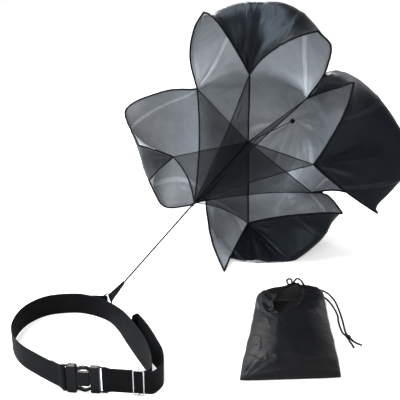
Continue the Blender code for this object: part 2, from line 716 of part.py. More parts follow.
def make_tab(parent):
    """Folded webbing through the ring, sewn flat and narrowed to the cord."""
    half_eye = RING_WIRE + GAP
    dip = RING_RADIUS - math.sqrt(RING_RADIUS ** 2 - (TAB_WIDTH / 2) ** 2)
    lean = math.sqrt(1 - (TAB_WIDTH / 2 / RING_RADIUS) ** 2)
    near = RING_RADIUS - (RING_WIRE + GAP) / lean - dip
    far = RING_RADIUS + RING_WIRE + GAP
    hole = rounded_box_outline(-half_eye, half_eye, near, far, half_eye * HOLE_CORNER_SHARE)
    thick = WEBBING_THICKNESS
    sole = TAB_SOLE / 2
    tip = RING_RADIUS + TAB_LENGTH
    skin = [(sole, tip), (-sole, tip), (-sole, far + TAB_EYE_LENGTH), (-half_eye - thick, far - thick)]
    for k in range(TAB_STEPS + 1):
        angle = math.pi + math.pi * k / TAB_STEPS
        reach = half_eye + thick
        skin.append((reach * math.cos(angle), near + half_eye + reach * math.sin(angle)))
    skin += [(half_eye + thick, far - thick), (sole, far + TAB_EYE_LENGTH)]
    loops = [skin, list(reversed(hole))]
    tab = as_mesh(outline("tow_tab", loops, TAB_WIDTH, parent, BLACK_NYLON, WEBBING_ROUGHNESS))
    narrow = TAB_TIP_SHARE
    for vert in tab.data.vertices:
        if vert.co.y > tip - GAP:
            vert.co.z *= narrow


def make_tow_cord(parent):
    """The taut cord from the tab to the knot where the nets meet."""
    start = RING_RADIUS + TAB_LENGTH + GAP
    end = net_start() - GAP - TIP_KNOT_LENGTH - GAP
    points = [(0, start + (end - start) * k / TOW_CORD_STEPS, 0) for k in range(TOW_CORD_STEPS + 1)]
    tube("tow_cord", points, TOW_CORD_RADIUS, parent, CORD_GREY, WEBBING_ROUGHNESS)
    bm = bmesh.new()
    bmesh.ops.create_uvsphere(bm, u_segments=16, v_segments=10, radius=TIP_KNOT_RADIUS)
    stretch = TIP_KNOT_LENGTH / (TIP_KNOT_RADIUS * 2)
    bmesh.ops.transform(bm, matrix=Matrix.Rotation(math.pi / 2, 4, "X"), verts=bm.verts)
    for vert in bm.verts:
        vert.co.y = vert.co.y * stretch + end + GAP + TIP_KNOT_LENGTH / 2
    mesh = bpy.data.meshes.new("tip_knot")
    bm.to_mesh(mesh)
    bm.free()
    smooth(add("tip_knot", mesh, parent, BLACK_NYLON, WEBBING_ROUGHNESS))


def make_tow():
    """Ring, keeper, tab and cord; returns the pivot that carries the canopy."""
    bar = waist(RING_PLACE_SHARES)
    make_keeper(bar)
    bar = bar + Vector((0, 0, RING_HEIGHT))
    ring_pivot = empty("ring_pivot", FRAME, bar, Matrix.Rotation(TOW_HEADING - math.pi / 2, 3, "Z"))
    tow_pivot = empty("tow_pivot", ring_pivot, (0, RING_LEG, 0), Matrix.Rotation(TOW_RISE, 3, "X"))
    make_ring(ring_pivot)
    make_tab(tow_pivot)
    make_tow_cord(tow_pivot)
    return tow_pivot


# Canopy, in the tow frame: X to the right, Y back along the tow line, Z up

def sewn(share):
    """A canopy point from its share of a panel's side, measured from the head of the nets."""
    return Vector((share[0], share[1], share[2])) * PANEL_SIDE + Vector((0, TOW_LENGTH, 0))


def net_start():
    """Distance along the tow line to the knot end of the nets."""
    return TOW_LENGTH - NET_LENGTH_SHARE * PANEL_SIDE


def on_floor(point):
    """The same canopy point, lifted to lie on the floor if it is below it."""
    up = Vector((0, math.sin(TOW_RISE), math.cos(TOW_RISE)))
    short = HEM_RADIUS - (RING_HEIGHT + point.dot(up))
    return point + up * max(short, 0)


def bend(a, middle, b, t):
    """The point at t of the parabola through two ends and a middle."""
    return a * ((1 - t) * (1 - t * 2)) + middle * (t * (1 - t) * 4) + b * (t * (t * 2 - 1))


def centre_point(s, t):
    """The centre panel: s from left to right, t from bottom to top."""
    grid = (
        (CORNER_SHARES["bottom_left"], ROOT_SHARES["bottom"], CORNER_SHARES["bottom_right"]),
        (ROOT_SHARES["left"], APEX_SHARES, ROOT_SHARES["right"]),
        (CORNER_SHARES["top_left"], ROOT_SHARES["top"], CORNER_SHARES["top_right"]),
    )
    rows = [bend(*(sewn(share) for share in row), s) for row in grid]
    return bend(*rows, t)


def lobe_point(side, s, t):
    """One lobe: s across it from its first rim, t from the centre panel to its lip."""
    lobe = LOBE_SHARES[side]
    first, last = LOBE_CORNERS[side]
    k = 0 if s <= 0.5 else 1
    corner = CORNER_SHARES[(first, last)[k]]
    rim = [sewn(share) for share in (corner, *lobe["rims"][k])]
    column = [sewn(share) for share in (ROOT_SHARES[side], *lobe["crest"], TIP_SHARES[side])]
    v = abs(s - k) * 2
    root_s = v / 2
    root = bend(rim[0], column[0], sewn(CORNER_SHARES[(first, last)[1 - k]]), root_s)
    lip = bend(rim[-1], sewn(lobe["lip"][k]), column[-1], v)
    edge = along(rim, t)
    middle = along(column, t)
    flat = (edge.lerp(middle, v) + root.lerp(lip, t)
            - rim[0].lerp(column[0], v).lerp(rim[-1].lerp(column[-1], v), t))
    heart = (rim[0] + rim[-1] + column[0] + column[-1] * 3) / 6
    swell = lobe["billow"][k] * PANEL_SIDE * math.sin(math.pi * v) * math.sin(math.pi * t)
    rise = lobe["ridge"][k] * PANEL_SIDE * math.sin(math.pi * v ** RIDGE_SIDE_SHARE)
    rise *= math.sin(math.pi * t ** RIDGE_ROOT_SHARE)
    return on_floor(flat + (flat - heart).normalized() * swell + Vector((0, 0, rise)))


def inward(point, inner, before, after):
    """The way from a border point into the sheet that keeps one unit from both of its border lines."""
    tangent = after - before
    way = inner - point
    way -= tangent * (way.dot(tangent) / tangent.length_squared)
    way.normalize()
    lines = [(end - point).normalized() for end in (before, after)]
    return way / max(min(way.cross(line).length for line in lines), MITRE_LIMIT_SHARE)


def drawn_in(patch, i, j, columns, rows, edges):
    """A grid point of a patch, its border moved in by (low s, high s, low t, high t) distances."""
    def at(a, b):
        return patch(a / columns, b / rows)

    point = at(i, j)
    beside = at(1 if i == 0 else columns - 1, j)
    above = at(i, 1 if j == 0 else rows - 1)
    across = edges[0 if i == 0 else 1]
    along_t = edges[2 if j == 0 else 3]
    if i in (0, columns) and j in (0, rows):
        a = (beside - point).normalized()
        b = (above - point).normalized()
        return point + (a * across + b * along_t) / max(a.cross(b).length, MITRE_LIMIT_SHARE)
    if i in (0, columns):
        return point + inward(point, beside, at(i, j - 1), at(i, j + 1)) * across
    if j in (0, rows):
        return point + inward(point, above, at(i - 1, j), at(i + 1, j)) * along_t
    return point


def make_panels(parent):
    """The centre panel and the four lobes sewn to its sides."""
    seam = (SEAM,) * 4

    def centre(i, j):
        return drawn_in(centre_point, i, j, LOBE_STEPS, LOBE_STEPS, seam)

    sheet("centre_panel", LOBE_STEPS, LOBE_STEPS, centre, CLOTH, parent, BLACK_NYLON, CLOTH_ROUGHNESS)
    for side, lobe in LOBE_SHARES.items():
        laps = [HEM_RADIUS + HEM_LAP + slack for slack in lobe["slack"]]

        def place(i, j):
            lip = laps[0 if i * 2 < LOBE_STEPS else 1]
            return drawn_in(lambda s, t: lobe_point(side, s, t), i, j, LOBE_STEPS, LOBE_REACH_STEPS,
                            (*laps, SEAM, lip))
        sheet(side + "_lobe", LOBE_STEPS, LOBE_REACH_STEPS, place, CLOTH, parent, BLACK_NYLON,
              CLOTH_ROUGHNESS)


def trimmed(points, start, end):
    """A polyline with a length taken off each end."""
    line = list(points)
    for cut_length in (start, end):
        left = cut_length
        while left > 0:
            step = line[1] - line[0]
            if step.length > left:
                line[0] = line[0] + step.normalized() * left
                left = 0
            else:
                left -= step.length
                line.pop(0)
        line.reverse()
    return line


def make_hems(parent):
    """A rolled hem along each rim and half lip of a lobe."""
    half = LOBE_STEPS // 2
    for side in LOBE_SHARES:
        for k, corner in enumerate(LOBE_CORNERS[side]):
            rim = [lobe_point(side, k, j / LOBE_REACH_STEPS) for j in range(LOBE_REACH_STEPS + 1)]
            lip = [lobe_point(side, abs(k - i / LOBE_STEPS), 1) for i in range(1, half + 1)]
            name = f"{side}_lobe_hem_{k + 1}"
            run = trimmed(rim + lip, HEM_CORNER, HEM_TIP)
            tube(name, run, HEM_RADIUS, parent, BLACK_NYLON, CLOTH_ROUGHNESS)


def make_nets(parent):
    """Eight net fins from the tape on the tow line to the corners and lip tips of the canopy."""
    start = net_start()
    tape = [(0, start + (TOW_LENGTH - start) * k / NET_STEPS, 0) for k in range(NET_STEPS + 1)]
    tube("net_tape", tape, NET_TAPE_RADIUS, parent, NET_BLACK, CLOTH_ROUGHNESS)
    anchors = {}
    head = Vector((0, TOW_LENGTH, 0))
    for name, share in CORNER_SHARES.items():
        corner = sewn(share)
        anchors[name + "_net"] = corner + (head - corner).normalized() * NET_HOLD
    for side, share in TIP_SHARES.items():
        tip = sewn(share)
        inner = lobe_point(side, 0.5, 1 - 1 / LOBE_REACH_STEPS)
        anchors[side + "_lip_net"] = tip + (inner - tip).normalized() * (HEM_RADIUS + HEM_LAP - NET_HOLD * 2)
    for name, anchor in anchors.items():
        radial = Vector((anchor.x, 0, anchor.z)).normalized()
        inner_edge = radial * (NET_TAPE_RADIUS + GAP + GAP)
        low = start + NET_CLEAR

        def place(i, j):
            share = i / NET_STEPS
            base = inner_edge + Vector((0, low + (TOW_LENGTH - low) * share, 0))
            spread = (base - anchor).normalized() * NET_TIP_WIDTH
            return base.lerp(anchor + spread, j / NET_SPAN_STEPS)
        sheet(name, NET_STEPS, NET_SPAN_STEPS, place, NET_THICKNESS, parent, NET_BLACK, CLOTH_ROUGHNESS)


def make_apex(parent):
    """The patch at the middle of the centre panel and the short cord that holds it."""
    away = APEX_PATCH / PANEL_SIDE / 2
    middle = centre_point(0.5, 0.5)
    right = centre_point(0.5 + away, 0.5) - middle
    normal = right.cross(centre_point(0.5, 0.5 + away) - middle).normalized()
    if normal.y > 0:
        normal = -normal
    stand = CLOTH + GAP * 2

    def place(i, j):
        a = (i / PATCH_STEPS - 0.5) * 2
        b = (j / PATCH_STEPS - 0.5) * 2
        return centre_point(0.5 + (a + b) / 2 * away, 0.5 + (a - b) / 2 * away) + normal * stand
    sheet("apex_patch", PATCH_STEPS, PATCH_STEPS, place, CLOTH, parent, BLACK_NYLON, CLOTH_ROUGHNESS)
    end = middle + normal * (stand + CLOTH / 2 + GAP)
    head = Vector((0, TOW_LENGTH, 0))
    run = (end - head).normalized()
    first = head + run * (NET_TAPE_RADIUS + GAP)
    points = [first.lerp(end - run * APEX_CORD_RADIUS, k / CORD_STEPS) for k in range(CORD_STEPS + 1)]
    tube("apex_cord", points, APEX_CORD_RADIUS, parent, BLACK_NYLON, CLOTH_ROUGHNESS)


# Storage bag

def bag_point(x_share, y_share, z_share):
    """A point of the bag from shares of its half width, length and thickness."""
    rows = BAG_ROW_SHARES
    for low, high in zip(rows, rows[1:]):
        if y_share <= high[0]:
            break
    t = (y_share - low[0]) / (high[0] - low[0])
    wide = low[1] + (high[1] - low[1]) * t
    tall = low[2] + (high[2] - low[2]) * t
    return Vector((x_share * wide * BAG_WIDTH / 2 + y_share * BAG_LENGTH * BAG_LEAN_SHARE,
                   y_share * BAG_LENGTH, z_share * tall * BAG_THICKNESS))


def make_bag():
    """The soft bag: a lofted shell-like body lying flat, with its mouth drawn in but open."""
    place = waist(BAG_PLACE_SHARES)
    stay = empty("bag_frame", FRAME, place, Matrix.Rotation(BAG_ANGLE, 3, "Z"))
    bm = bmesh.new()
    rings = []
    for row in BAG_ROW_SHARES:
        rings.append([bm.verts.new(bag_point(x, row[0], z)) for x, z in BAG_SECTION_SHARES])
    count = len(BAG_SECTION_SHARES)
    for low, high in zip(rings, rings[1:]):
        for k in range(count):
            bm.faces.new((low[k], low[(k + 1) % count], high[(k + 1) % count], high[k]))
    bm.faces.new(list(reversed(rings[0])))
    bm.faces.new(rings[-1])
    bmesh.ops.recalc_face_normals(bm, faces=bm.faces)
    mesh = bpy.data.meshes.new("storage_bag")
    bm.to_mesh(mesh)
    bm.free()
    bag = add("storage_bag", mesh, stay, BLACK_NYLON, CLOTH_ROUGHNESS)
    centre = bag_point(0, 1 - BAG_MOUTH_DEPTH / BAG_LENGTH, 0.5)
    mouth = bag_point(0, 1, 0.5)
    low = (mouth.x - BAG_MOUTH_WIDTH / 2, mouth.y - BAG_MOUTH_DEPTH, centre.z - BAG_MOUTH_HEIGHT / 2)
    high = (mouth.x + BAG_MOUTH_WIDTH / 2, mouth.y + OVERRUN, centre.z + BAG_MOUTH_HEIGHT / 2)
    cut(bag, block("bag_mouth", low, high, stay, BAG_MOUTH_ROUNDING))


def make_drawstring():
    """Two strands from the bag's mouth to a knot, and their free ends."""
    for name, route in STRING_ROUTES.items():
        tube(name, spline(route, CORD_STEPS), STRING_RADIUS, FRAME, BLACK_NYLON, WEBBING_ROUGHNESS)
    for name, route in STRING_ENDS.items():
        tube(name, spline(route, CORD_STEPS), STRING_RADIUS, FRAME, BLACK_NYLON, WEBBING_ROUGHNESS)
    bm = bmesh.new()
    bmesh.ops.create_uvsphere(bm, u_segments=16, v_segments=10, radius=STRING_KNOT_RADIUS)
    mesh = bpy.data.meshes.new("drawstring_knot")
    bm.to_mesh(mesh)
    bm.free()
    knot = add("drawstring_knot", mesh, FRAME, BLACK_NYLON, WEBBING_ROUGHNESS)
    knot.matrix_local = Matrix.Translation(STRING_KNOT_PLACE)
    smooth(knot)


def centre_on_floor():
    """Bring the set's own box over the origin, leaving its cords out of the count."""
    bpy.context.view_layer.update()
    graph = bpy.context.evaluated_depsgraph_get()
    low = Vector((math.inf, math.inf))
    high = -low
    for item in PARTS.objects:
        if item.type == "EMPTY" or item.name.startswith(("drawstring", "tow_cord")):
            continue
        shown = item.evaluated_get(graph)
        mesh = shown.to_mesh()
        for vert in mesh.vertices:
            place = item.matrix_world @ vert.co
            low = Vector((min(low.x, place.x), min(low.y, place.y)))
            high = Vector((max(high.x, place.x), max(high.y, place.y)))
        shown.to_mesh_clear()
    shift = -(low + high) / 2
    FRAME.location = (shift.x, shift.y, 0)
    bpy.context.view_layer.update()
    print("set frame at", [round(v, 5) for v in FRAME.location])
    for name in ("ring_pivot", "tow_pivot", "buckle_frame", "upper_prong_pivot", "lower_prong_pivot",
                 "adjuster_slide", "bag_frame"):
        pivot = bpy.data.objects[name]
        print(name, [round(v, 5) for v in pivot.matrix_world.translation],
              "x", [round(v, 5) for v in pivot.matrix_world.col[0].xyz],
              "y", [round(v, 5) for v in pivot.matrix_world.col[1].xyz])


def main():
    clear_scene()
    make_belt()
    make_buckle()
    tow_pivot = make_tow()
    make_panels(tow_pivot)
    make_hems(tow_pivot)
    make_nets(tow_pivot)
    make_apex(tow_pivot)
    make_bag()
    make_drawstring()
    centre_on_floor()


main()
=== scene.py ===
"""Speed parachute laid out on a pale floor: cloth canopy on net fins, waist belt and drawstring bag.

Metres, in the row frame. The shapes that the solids share come first, then the camera, the makers of
surfaces, meshes and stitches, the materials, each piece in turn, the floor and the lamps.
"""
import json
import math

import bmesh
import bpy
from mathutils import Matrix, Vector, noise


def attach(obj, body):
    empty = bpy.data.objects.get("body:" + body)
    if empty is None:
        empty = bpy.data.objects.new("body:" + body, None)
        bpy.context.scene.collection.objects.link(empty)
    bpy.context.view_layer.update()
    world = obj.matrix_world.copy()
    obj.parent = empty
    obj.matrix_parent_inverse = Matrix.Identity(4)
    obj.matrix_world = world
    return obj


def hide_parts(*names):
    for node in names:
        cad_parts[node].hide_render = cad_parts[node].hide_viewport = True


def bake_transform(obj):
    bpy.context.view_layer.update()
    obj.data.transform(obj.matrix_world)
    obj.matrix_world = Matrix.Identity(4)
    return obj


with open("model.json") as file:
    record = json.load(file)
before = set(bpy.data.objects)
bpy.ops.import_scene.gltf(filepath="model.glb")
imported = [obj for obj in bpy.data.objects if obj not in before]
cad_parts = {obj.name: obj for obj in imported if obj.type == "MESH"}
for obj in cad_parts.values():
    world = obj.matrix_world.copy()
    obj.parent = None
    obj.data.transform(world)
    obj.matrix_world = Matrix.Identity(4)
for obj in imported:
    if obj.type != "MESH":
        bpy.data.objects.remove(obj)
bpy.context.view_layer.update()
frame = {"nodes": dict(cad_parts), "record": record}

# Shapes that the canopy, belt and bag share with their solids
WAIST_LOOP = 0.330
FRONT_ANGLE = math.radians(-6.0)
BUCKLE_START = (-0.076, -0.512)
WAIST_PATH = (
    (0.422, -0.548), (0.430, -0.480), (0.410, -0.380), (0.360, -0.258), (0.262, -0.040), (0.165, 0.165),
    (0.061, 0.297), (-0.085, 0.382), (-0.210, 0.394), (-0.350, 0.355), (-0.449, 0.240),
    (-0.488, 0.090), (-0.476, -0.080), (-0.390, -0.245), (-0.255, -0.372),
)
TAIL_PATH = (
    (0.450, -0.560), (0.498, -0.470), (0.478, -0.350), (0.420, -0.225), (0.348, -0.045), (0.292, 0.068),
    (0.2775, 0.0945), (0.2660, 0.0960), (0.2440, 0.0745),
)
LEAN, LEAN_HEADING, LEAN_MIDDLE_SHARE = 0.015, math.radians(26.0), 0.30
LEAN_X_SHARES, LEAN_Y_SHARES = (0.06, 0.26), (-0.50, -0.16)
KEEPER_PATH = ((-0.030, 0.4010), (-0.090, 0.4005), (-0.145, 0.4085), (-0.205, 0.4060))
WEBBING_WIDTH, WEBBING_THICKNESS, GAP = 0.050, 0.0016, 0.0003
LAYER = WEBBING_THICKNESS + GAP
FRONT_LIFT, FOLD_BACK, BAR_RADIUS, EYE_RUN = 0.004, 0.034, 0.0021, 0.012
SOCKET_SLACK, PLUG_SLACK, KEEPER_SLACK, TAB_SLACK = 0.0035, 0.0045, 0.0035, 0.0012
ADJUSTER_PLACE_SHARE = 0.4425
PLUG_BAR, ADJUSTER_PLACE, ADJUSTER_LENGTH = 0.0835, ADJUSTER_PLACE_SHARE * WAIST_LOOP, 0.020
RING_PLACE, RING_HEIGHT, RING_RADIUS, RING_WIRE = (0.050, 0.394), 0.025, 0.0217, 0.00175
KEEPER_WIDTH, KEEPER_STEP = 0.0385, 0.0025
WAIST_STEP, STRAP_STEP, TAB_STEP = 0.003, 0.002, 0.0012
TOW_HEADING, TOW_RISE = math.radians(56.9), math.radians(19.6)
TAB_WIDTH, TAB_LENGTH = 0.019, 0.051
PANEL_SIDE, TOW_LENGTH, NET_SHARE = 0.420, 0.696, 0.725
HEM_RADIUS, HEM_FULLNESS = 0.0018, 1.45
TIP_KNOT_LENGTH = 0.013
APEX = (0.16, 0.38, -0.03)
CORNERS = {
    "top_left": (-0.34, 0.00, 0.38), "top_right": (0.49, 0.00, 0.41),
    "bottom_right": (0.45, 0.00, -0.34), "bottom_left": (-0.31, -0.21, -0.42),
}
ROOTS = {
    "top": (0.07, 0.17, 0.45), "right": (0.52, 0.18, 0.02),
    "bottom": (0.07, 0.03, -0.46), "left": (-0.38, 0.06, -0.02),
}
TIPS = {
    "top": (0.22, -0.19, 0.65), "right": (0.64, -0.29, 0.13),
    "bottom": (0.19, -0.45, -0.33), "left": (-0.39, -0.36, 0.04),
}
# For each lobe, in shares of a panel's side: its two rims, its crest and lip, how far each half
# billows, the way and pace of a further bulge in each half, and the reach and pace of its two seams
LOBES = {
    "top": {
        "rims": (((-0.40, 0.07, 0.56), (-0.28, 0.00, 0.80), (-0.07, -0.14, 1.01)),
                 ((0.59, 0.07, 0.56), (0.68, 0.00, 0.78), (0.71, -0.21, 0.98))),
        "crest": ((0.14, 0.16, 0.80), (0.27, 0.00, 1.02)),
        "lip": ((0.07, -0.17, 0.93), (0.47, -0.24, 0.88)),
        "billow": (0.000, 0.055),
        "bulges": ((0, 0, 0, 1), (0, 0, 0, 1)),
        "gores": ((0.50, 0.40), (0.24, 0.22)),
    },
    "right": {
        "rims": (((0.63, -0.05, 0.50), (0.82, -0.21, 0.65), (0.96, -0.36, 0.77)),
                 ((0.69, -0.11, -0.185), (0.925, -0.20, -0.135), (1.04, -0.31, -0.14))),
        "crest": ((0.86, 0.10, 0.13), (1.18, -0.12, 0.22)),
        "lip": ((0.84, -0.31, 0.47), (0.81, -0.31, 0.01)),
        "billow": (-0.015, 0.100),
        "bulges": ((0, 0.124, 0.138, 0.45), (0.040, 0, -0.010, 2.2)),
        "gores": ((0.24, 0.22), (0.24, 0.22)),
    },
    "bottom": {
        "rims": (((0.53, 0.00, -0.323), (0.67, -0.14, -0.253), (0.815, -0.317, -0.188)),
                 ((-0.14, -0.45, -0.35), (0.06, -0.71, -0.33), (0.28, -0.93, -0.32))),
        "crest": ((0.44, -0.24, -0.56), (0.57, -0.58, -0.43)),
        "lip": ((0.51, -0.43, -0.20), (0.22, -0.69, -0.34)),
        "billow": (0.080, 0.130),
        "bulges": ((0.03, 0, -0.07, 3.2), (0, 0, 0, 1)),
        "gores": ((0.24, 0.22), (0.24, 0.22)),
    },
    "left": {
        "rims": (((-0.48, -0.26, -0.49), (-0.63, -0.33, -0.47), (-0.64, -0.40, -0.19)),
                 ((-0.67, 0.00, 0.31), (-0.92, -0.14, 0.21), (-0.66, -0.38, 0.10))),
        "crest": ((-0.70, -0.02, -0.06), (-0.76, -0.29, -0.08)),
        "lip": ((-0.52, -0.38, -0.08), (-0.52, -0.38, 0.09)),
        "billow": (0.030, 0.020),
        "bulges": ((0, 0, 0, 1), (0, 0, 0, 1)),
        "gores": ((0.24, 0.22), (0.24, 0.22)),
    },
}
LOBE_CORNERS = {
    "top": ("top_left", "top_right"), "right": ("top_right", "bottom_right"),
    "bottom": ("bottom_right", "bottom_left"), "left": ("bottom_left", "top_left"),
}
STRINGS = {
    "drawstring_upper_strand": (
        (0.4891, 0.1917, 0.0195), (0.4935, 0.1995, 0.0215), (0.500, 0.214, 0.0205), (0.506, 0.232, 0.0120),
        (0.516, 0.243, 0.0036), (0.530, 0.242, 0.0014), (0.543, 0.229, 0.0014), (0.552, 0.206, 0.0014),
        (0.557, 0.178, 0.0014), (0.558, 0.150, 0.0014), (0.558, 0.120, 0.0014), (0.557, 0.090, 0.0014),
        (0.555, 0.060, 0.0014), (0.554, 0.038, 0.0016), (0.5553, 0.0209, 0.0042),
    ),
    "drawstring_lower_strand": (
        (0.4946, 0.1913, 0.0144), (0.501, 0.201, 0.0125), (0.508, 0.209, 0.0070), (0.519, 0.214, 0.0022),
        (0.530, 0.209, 0.0014), (0.539, 0.193, 0.0014), (0.545, 0.170, 0.0014), (0.549, 0.142, 0.0014),
        (0.550, 0.114, 0.0014), (0.547, 0.086, 0.0014), (0.546, 0.058, 0.0014), (0.5475, 0.036, 0.0016),
        (0.5524, 0.0200, 0.0042),
    ),
    "drawstring_upper_end": ((0.5585, 0.0114, 0.0040), (0.563, 0.004, 0.0018), (0.569, -0.004, 0.0014),
                             (0.5785, -0.0118, 0.0014)),
    "drawstring_lower_end": ((0.5547, 0.0102, 0.0040), (0.5555, 0.001, 0.0018), (0.558, -0.009, 0.0014),
                             (0.5595, -0.0215, 0.0014)),
}
STRING_LOOPS = {
    "drawstring_small_loop": (
        (0.455, 0.197, 0.040), (0.454, 0.197, 0.046), (0.4527, 0.1965, 0.0515), (0.4478, 0.196, 0.0555),
        (0.442, 0.1965, 0.0515), (0.4425, 0.197, 0.046), (0.446, 0.197, 0.040),
    ),
    "drawstring_large_loop": (
        (0.456, 0.197, 0.040), (0.458, 0.1965, 0.045), (0.4599, 0.196, 0.0502), (0.4656, 0.196, 0.0555),
        (0.4729, 0.196, 0.0528), (0.4792, 0.196, 0.0449), (0.485, 0.1945, 0.035), (0.4885, 0.1925, 0.024),
    ),
}
STRING_RADIUS, STRING_RISE, TOW_RADIUS = 0.0022, Vector((0, 0, 0.0009)), 0.0021

# The row frame stands off the set's own by this much
JOINTS = frame["record"]["behaviour"]["joints"]
PIVOTS = {joint["name"]: Vector(joint["pos_m"]) for joint in JOINTS if "pos_m" in joint}
SHIFT = PIVOTS["ring_yaw"] - Vector((RING_PLACE[0] * WAIST_LOOP, RING_PLACE[1] * WAIST_LOOP, RING_HEIGHT))
TOW = (Matrix.Translation(PIVOTS["tow_pitch"]) @ Matrix.Rotation(TOW_HEADING - math.pi / 2, 4, "Z")
       @ Matrix.Rotation(TOW_RISE, 4, "X"))

# Camera
PICTURE_WIDTH_PIXELS, FOCAL_LENGTH_PIXELS, SENSOR_WIDTH = 400, 700, 36
CAMERA_PLACE, CAMERA_TILT = Vector((0.235, -1.303, 0.800)), math.radians(70)

lens = bpy.data.cameras.new("camera")
lens.sensor_width = SENSOR_WIDTH
lens.lens = SENSOR_WIDTH * FOCAL_LENGTH_PIXELS / PICTURE_WIDTH_PIXELS
camera = bpy.data.objects.new("camera", lens)
bpy.context.scene.collection.objects.link(camera)
camera.location = CAMERA_PLACE + SHIFT
camera.rotation_euler = (CAMERA_TILT, 0, 0)
bpy.context.scene.camera = camera


# Node trees and their arithmetic

class Value:
    """An output socket that takes part in sums and picks between colours."""

    def __init__(self, graph, socket):
        self.graph, self.socket = graph, socket

    def __add__(self, other):
        return self.graph.math("ADD", self, other)

    def __sub__(self, other):
        return self.graph.math("SUBTRACT", self, other)

    def __rsub__(self, other):
        return self.graph.math("SUBTRACT", other, self)

    def __mul__(self, other):
        return self.graph.math("MULTIPLY", self, other)

    def __abs__(self):
        return self.graph.math("ABSOLUTE", self)

    __radd__ = __add__
    __rmul__ = __mul__

    def ramp(self, low, high):
        """0 at low, 1 at high, smooth between; low may be the larger."""
        ends = {"From Min": min(low, high), "From Max": max(low, high)}
        ends.update({"To Min": float(low > high), "To Max": float(low < high)})
        return self.graph.node("ShaderNodeMapRange", {"Value": self, **ends}, interpolation_type="SMOOTHSTEP")

    def pick(self, low, high):
        """A colour between two, by this value."""
        low, high = (item if isinstance(item, Value) else (*item, 1) for item in (low, high))
        return self.graph.node("ShaderNodeMix", {0: self, 6: low, 7: high}, output=2, data_type="RGBA")


class Graph:
    """A node tree, built one node at a time."""

    def __init__(self, tree):
        self.tree = tree

    def node(self, kind, inputs=(), output=0, **settings):
        """A node: its settings, then its sockets' values or links. Its output comes back, if it has one."""
        made = self.tree.nodes.new(kind)
        for key, value in settings.items():
            setattr(made, key, value)
        for key, value in dict(inputs).items():
            if isinstance(value, Value):
                self.tree.links.new(value.socket, made.inputs[key])
            else:
                made.inputs[key].default_value = value
        return Value(self, made.outputs[output]) if made.outputs else None

    def math(self, operation, *values):
        return self.node("ShaderNodeMath", enumerate(values), operation=operation)


class Surface(Graph):
    """A Principled material whose patterns are built from Values."""

    def __init__(self, name, **plain):
        self.made = bpy.data.materials.new(name)
        self.made.use_nodes = True
        super().__init__(self.made.node_tree)
        self.shader = self.tree.nodes["Principled BSDF"]
        for key, value in plain.items():
            self.shader.inputs[key.replace("_", " ").title().replace("Ior", "IOR")].default_value = value
        self.relief = None

    def place(self, kind="Object", scale=(1, 1, 1)):
        spot = self.node("ShaderNodeTexCoord", output=kind)
        return self.node("ShaderNodeMapping", {"Vector": spot, "Scale": scale})

    def weave(self):
        """The run along the cloth or strap, and the way across it, in metres."""
        spot = self.place("UV")
        return [self.node("ShaderNodeSeparateXYZ", {0: spot}, output=k) for k in (0, 1)]

    def noise(self, scale, detail=2.0, rough=0.5, vector=None, warp=0.0):
        return self.node("ShaderNodeTexNoise", {
            "Vector": vector or self.place(), "Scale": scale, "Detail": detail, "Roughness": rough,
            "Distortion": warp,
        }, output="Fac")

    def attribute(self, name):
        return self.node("ShaderNodeAttribute", output="Fac", attribute_name=name)

    def set(self, socket, value):
        self.tree.links.new(value.socket, self.shader.inputs[socket])

    def bump(self, height, depth, strength=1.0):
        """One more relief over those before it."""
        inputs = {"Height": height, "Distance": depth, "Strength": strength}
        if self.relief:
            inputs["Normal"] = self.relief
        self.relief = self.node("ShaderNodeBump", inputs)
        self.set("Normal", self.relief)


def phase(value, pitch):
    """A length as an angle that comes round once in each pitch."""
    return value * (2 * math.pi / pitch)


def sine(value, pitch):
    return value.graph.math("SINE", phase(value, pitch))


def higher(first, *others):
    for other in others:
        first = first.graph.math("MAXIMUM", first, other)
    return first


def shade(colour, factor):
    return tuple(c * factor for c in colour)


# Mesh helpers

def along(points, share):
    """The point at a share of the knots of one smooth Catmull-Rom curve."""
    place = share * (len(points) - 1)
    i = min(int(place), len(points) - 2)
    t = place - i
    a = points[i - 1] if i else points[0] * 2 - points[1]
    b, c = points[i], points[i + 1]
    d = points[i + 2] if i + 2 < len(points) else points[-1] * 2 - points[-2]
    return (b + (c - a) * (t / 2) + (a * 2 - b * 5 + c * 4 - d) * (t * t / 2)
            + (b * 3 - a - c * 3 + d) * (t * t * t / 2))


def spline(points, steps=5):
    """Points along that curve, some for each span."""
    knots = [Vector(point) for point in points]
    count = steps * (len(knots) - 1)
    return [along(knots, k / count) for k in range(count + 1)]


def straight(a, b, steps):
    """Points at even distances from a to b."""
    return [a.lerp(b, k / steps) for k in range(steps + 1)]


def length_of(points):
    return sum((b - a).length for a, b in zip(points, points[1:]))


def distances(points):
    """How far along a line each of its points lies."""
    gone = [0.0]
    for a, b in zip(points, points[1:]):
        gone.append(gone[-1] + (b - a).length)
    return gone


def link(name, mesh, body, materials, replaces=()):
    """A piece in the scene: its mesh, materials and, where it has just one, the body it rides on."""
    name = "soft_" + name if name in frame["nodes"] else name
    item = bpy.data.objects.new(name, mesh)
    bpy.context.scene.collection.objects.link(item)
    for surface in materials:
        mesh.materials.append(surface.made)
    mesh.shade_smooth()
    if replaces:
        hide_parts(*replaces)
    if body:
        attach(item, body)
    return item


def stand_in(name, mesh, body, *materials):
    """The piece that shows in place of the solid of its name."""
    return link(name, mesh, body, materials, (name,))


def finished(bm, name):
    """The mesh of that name from bm, which is done with."""
    mesh = bpy.data.meshes.new(name)
    bm.to_mesh(mesh)
    bm.free()
    return mesh


def cell(i, j):
    """The corners of one cell of a grid, in turn."""
    return (i, j), (i + 1, j), (i + 1, j + 1), (i, j + 1)


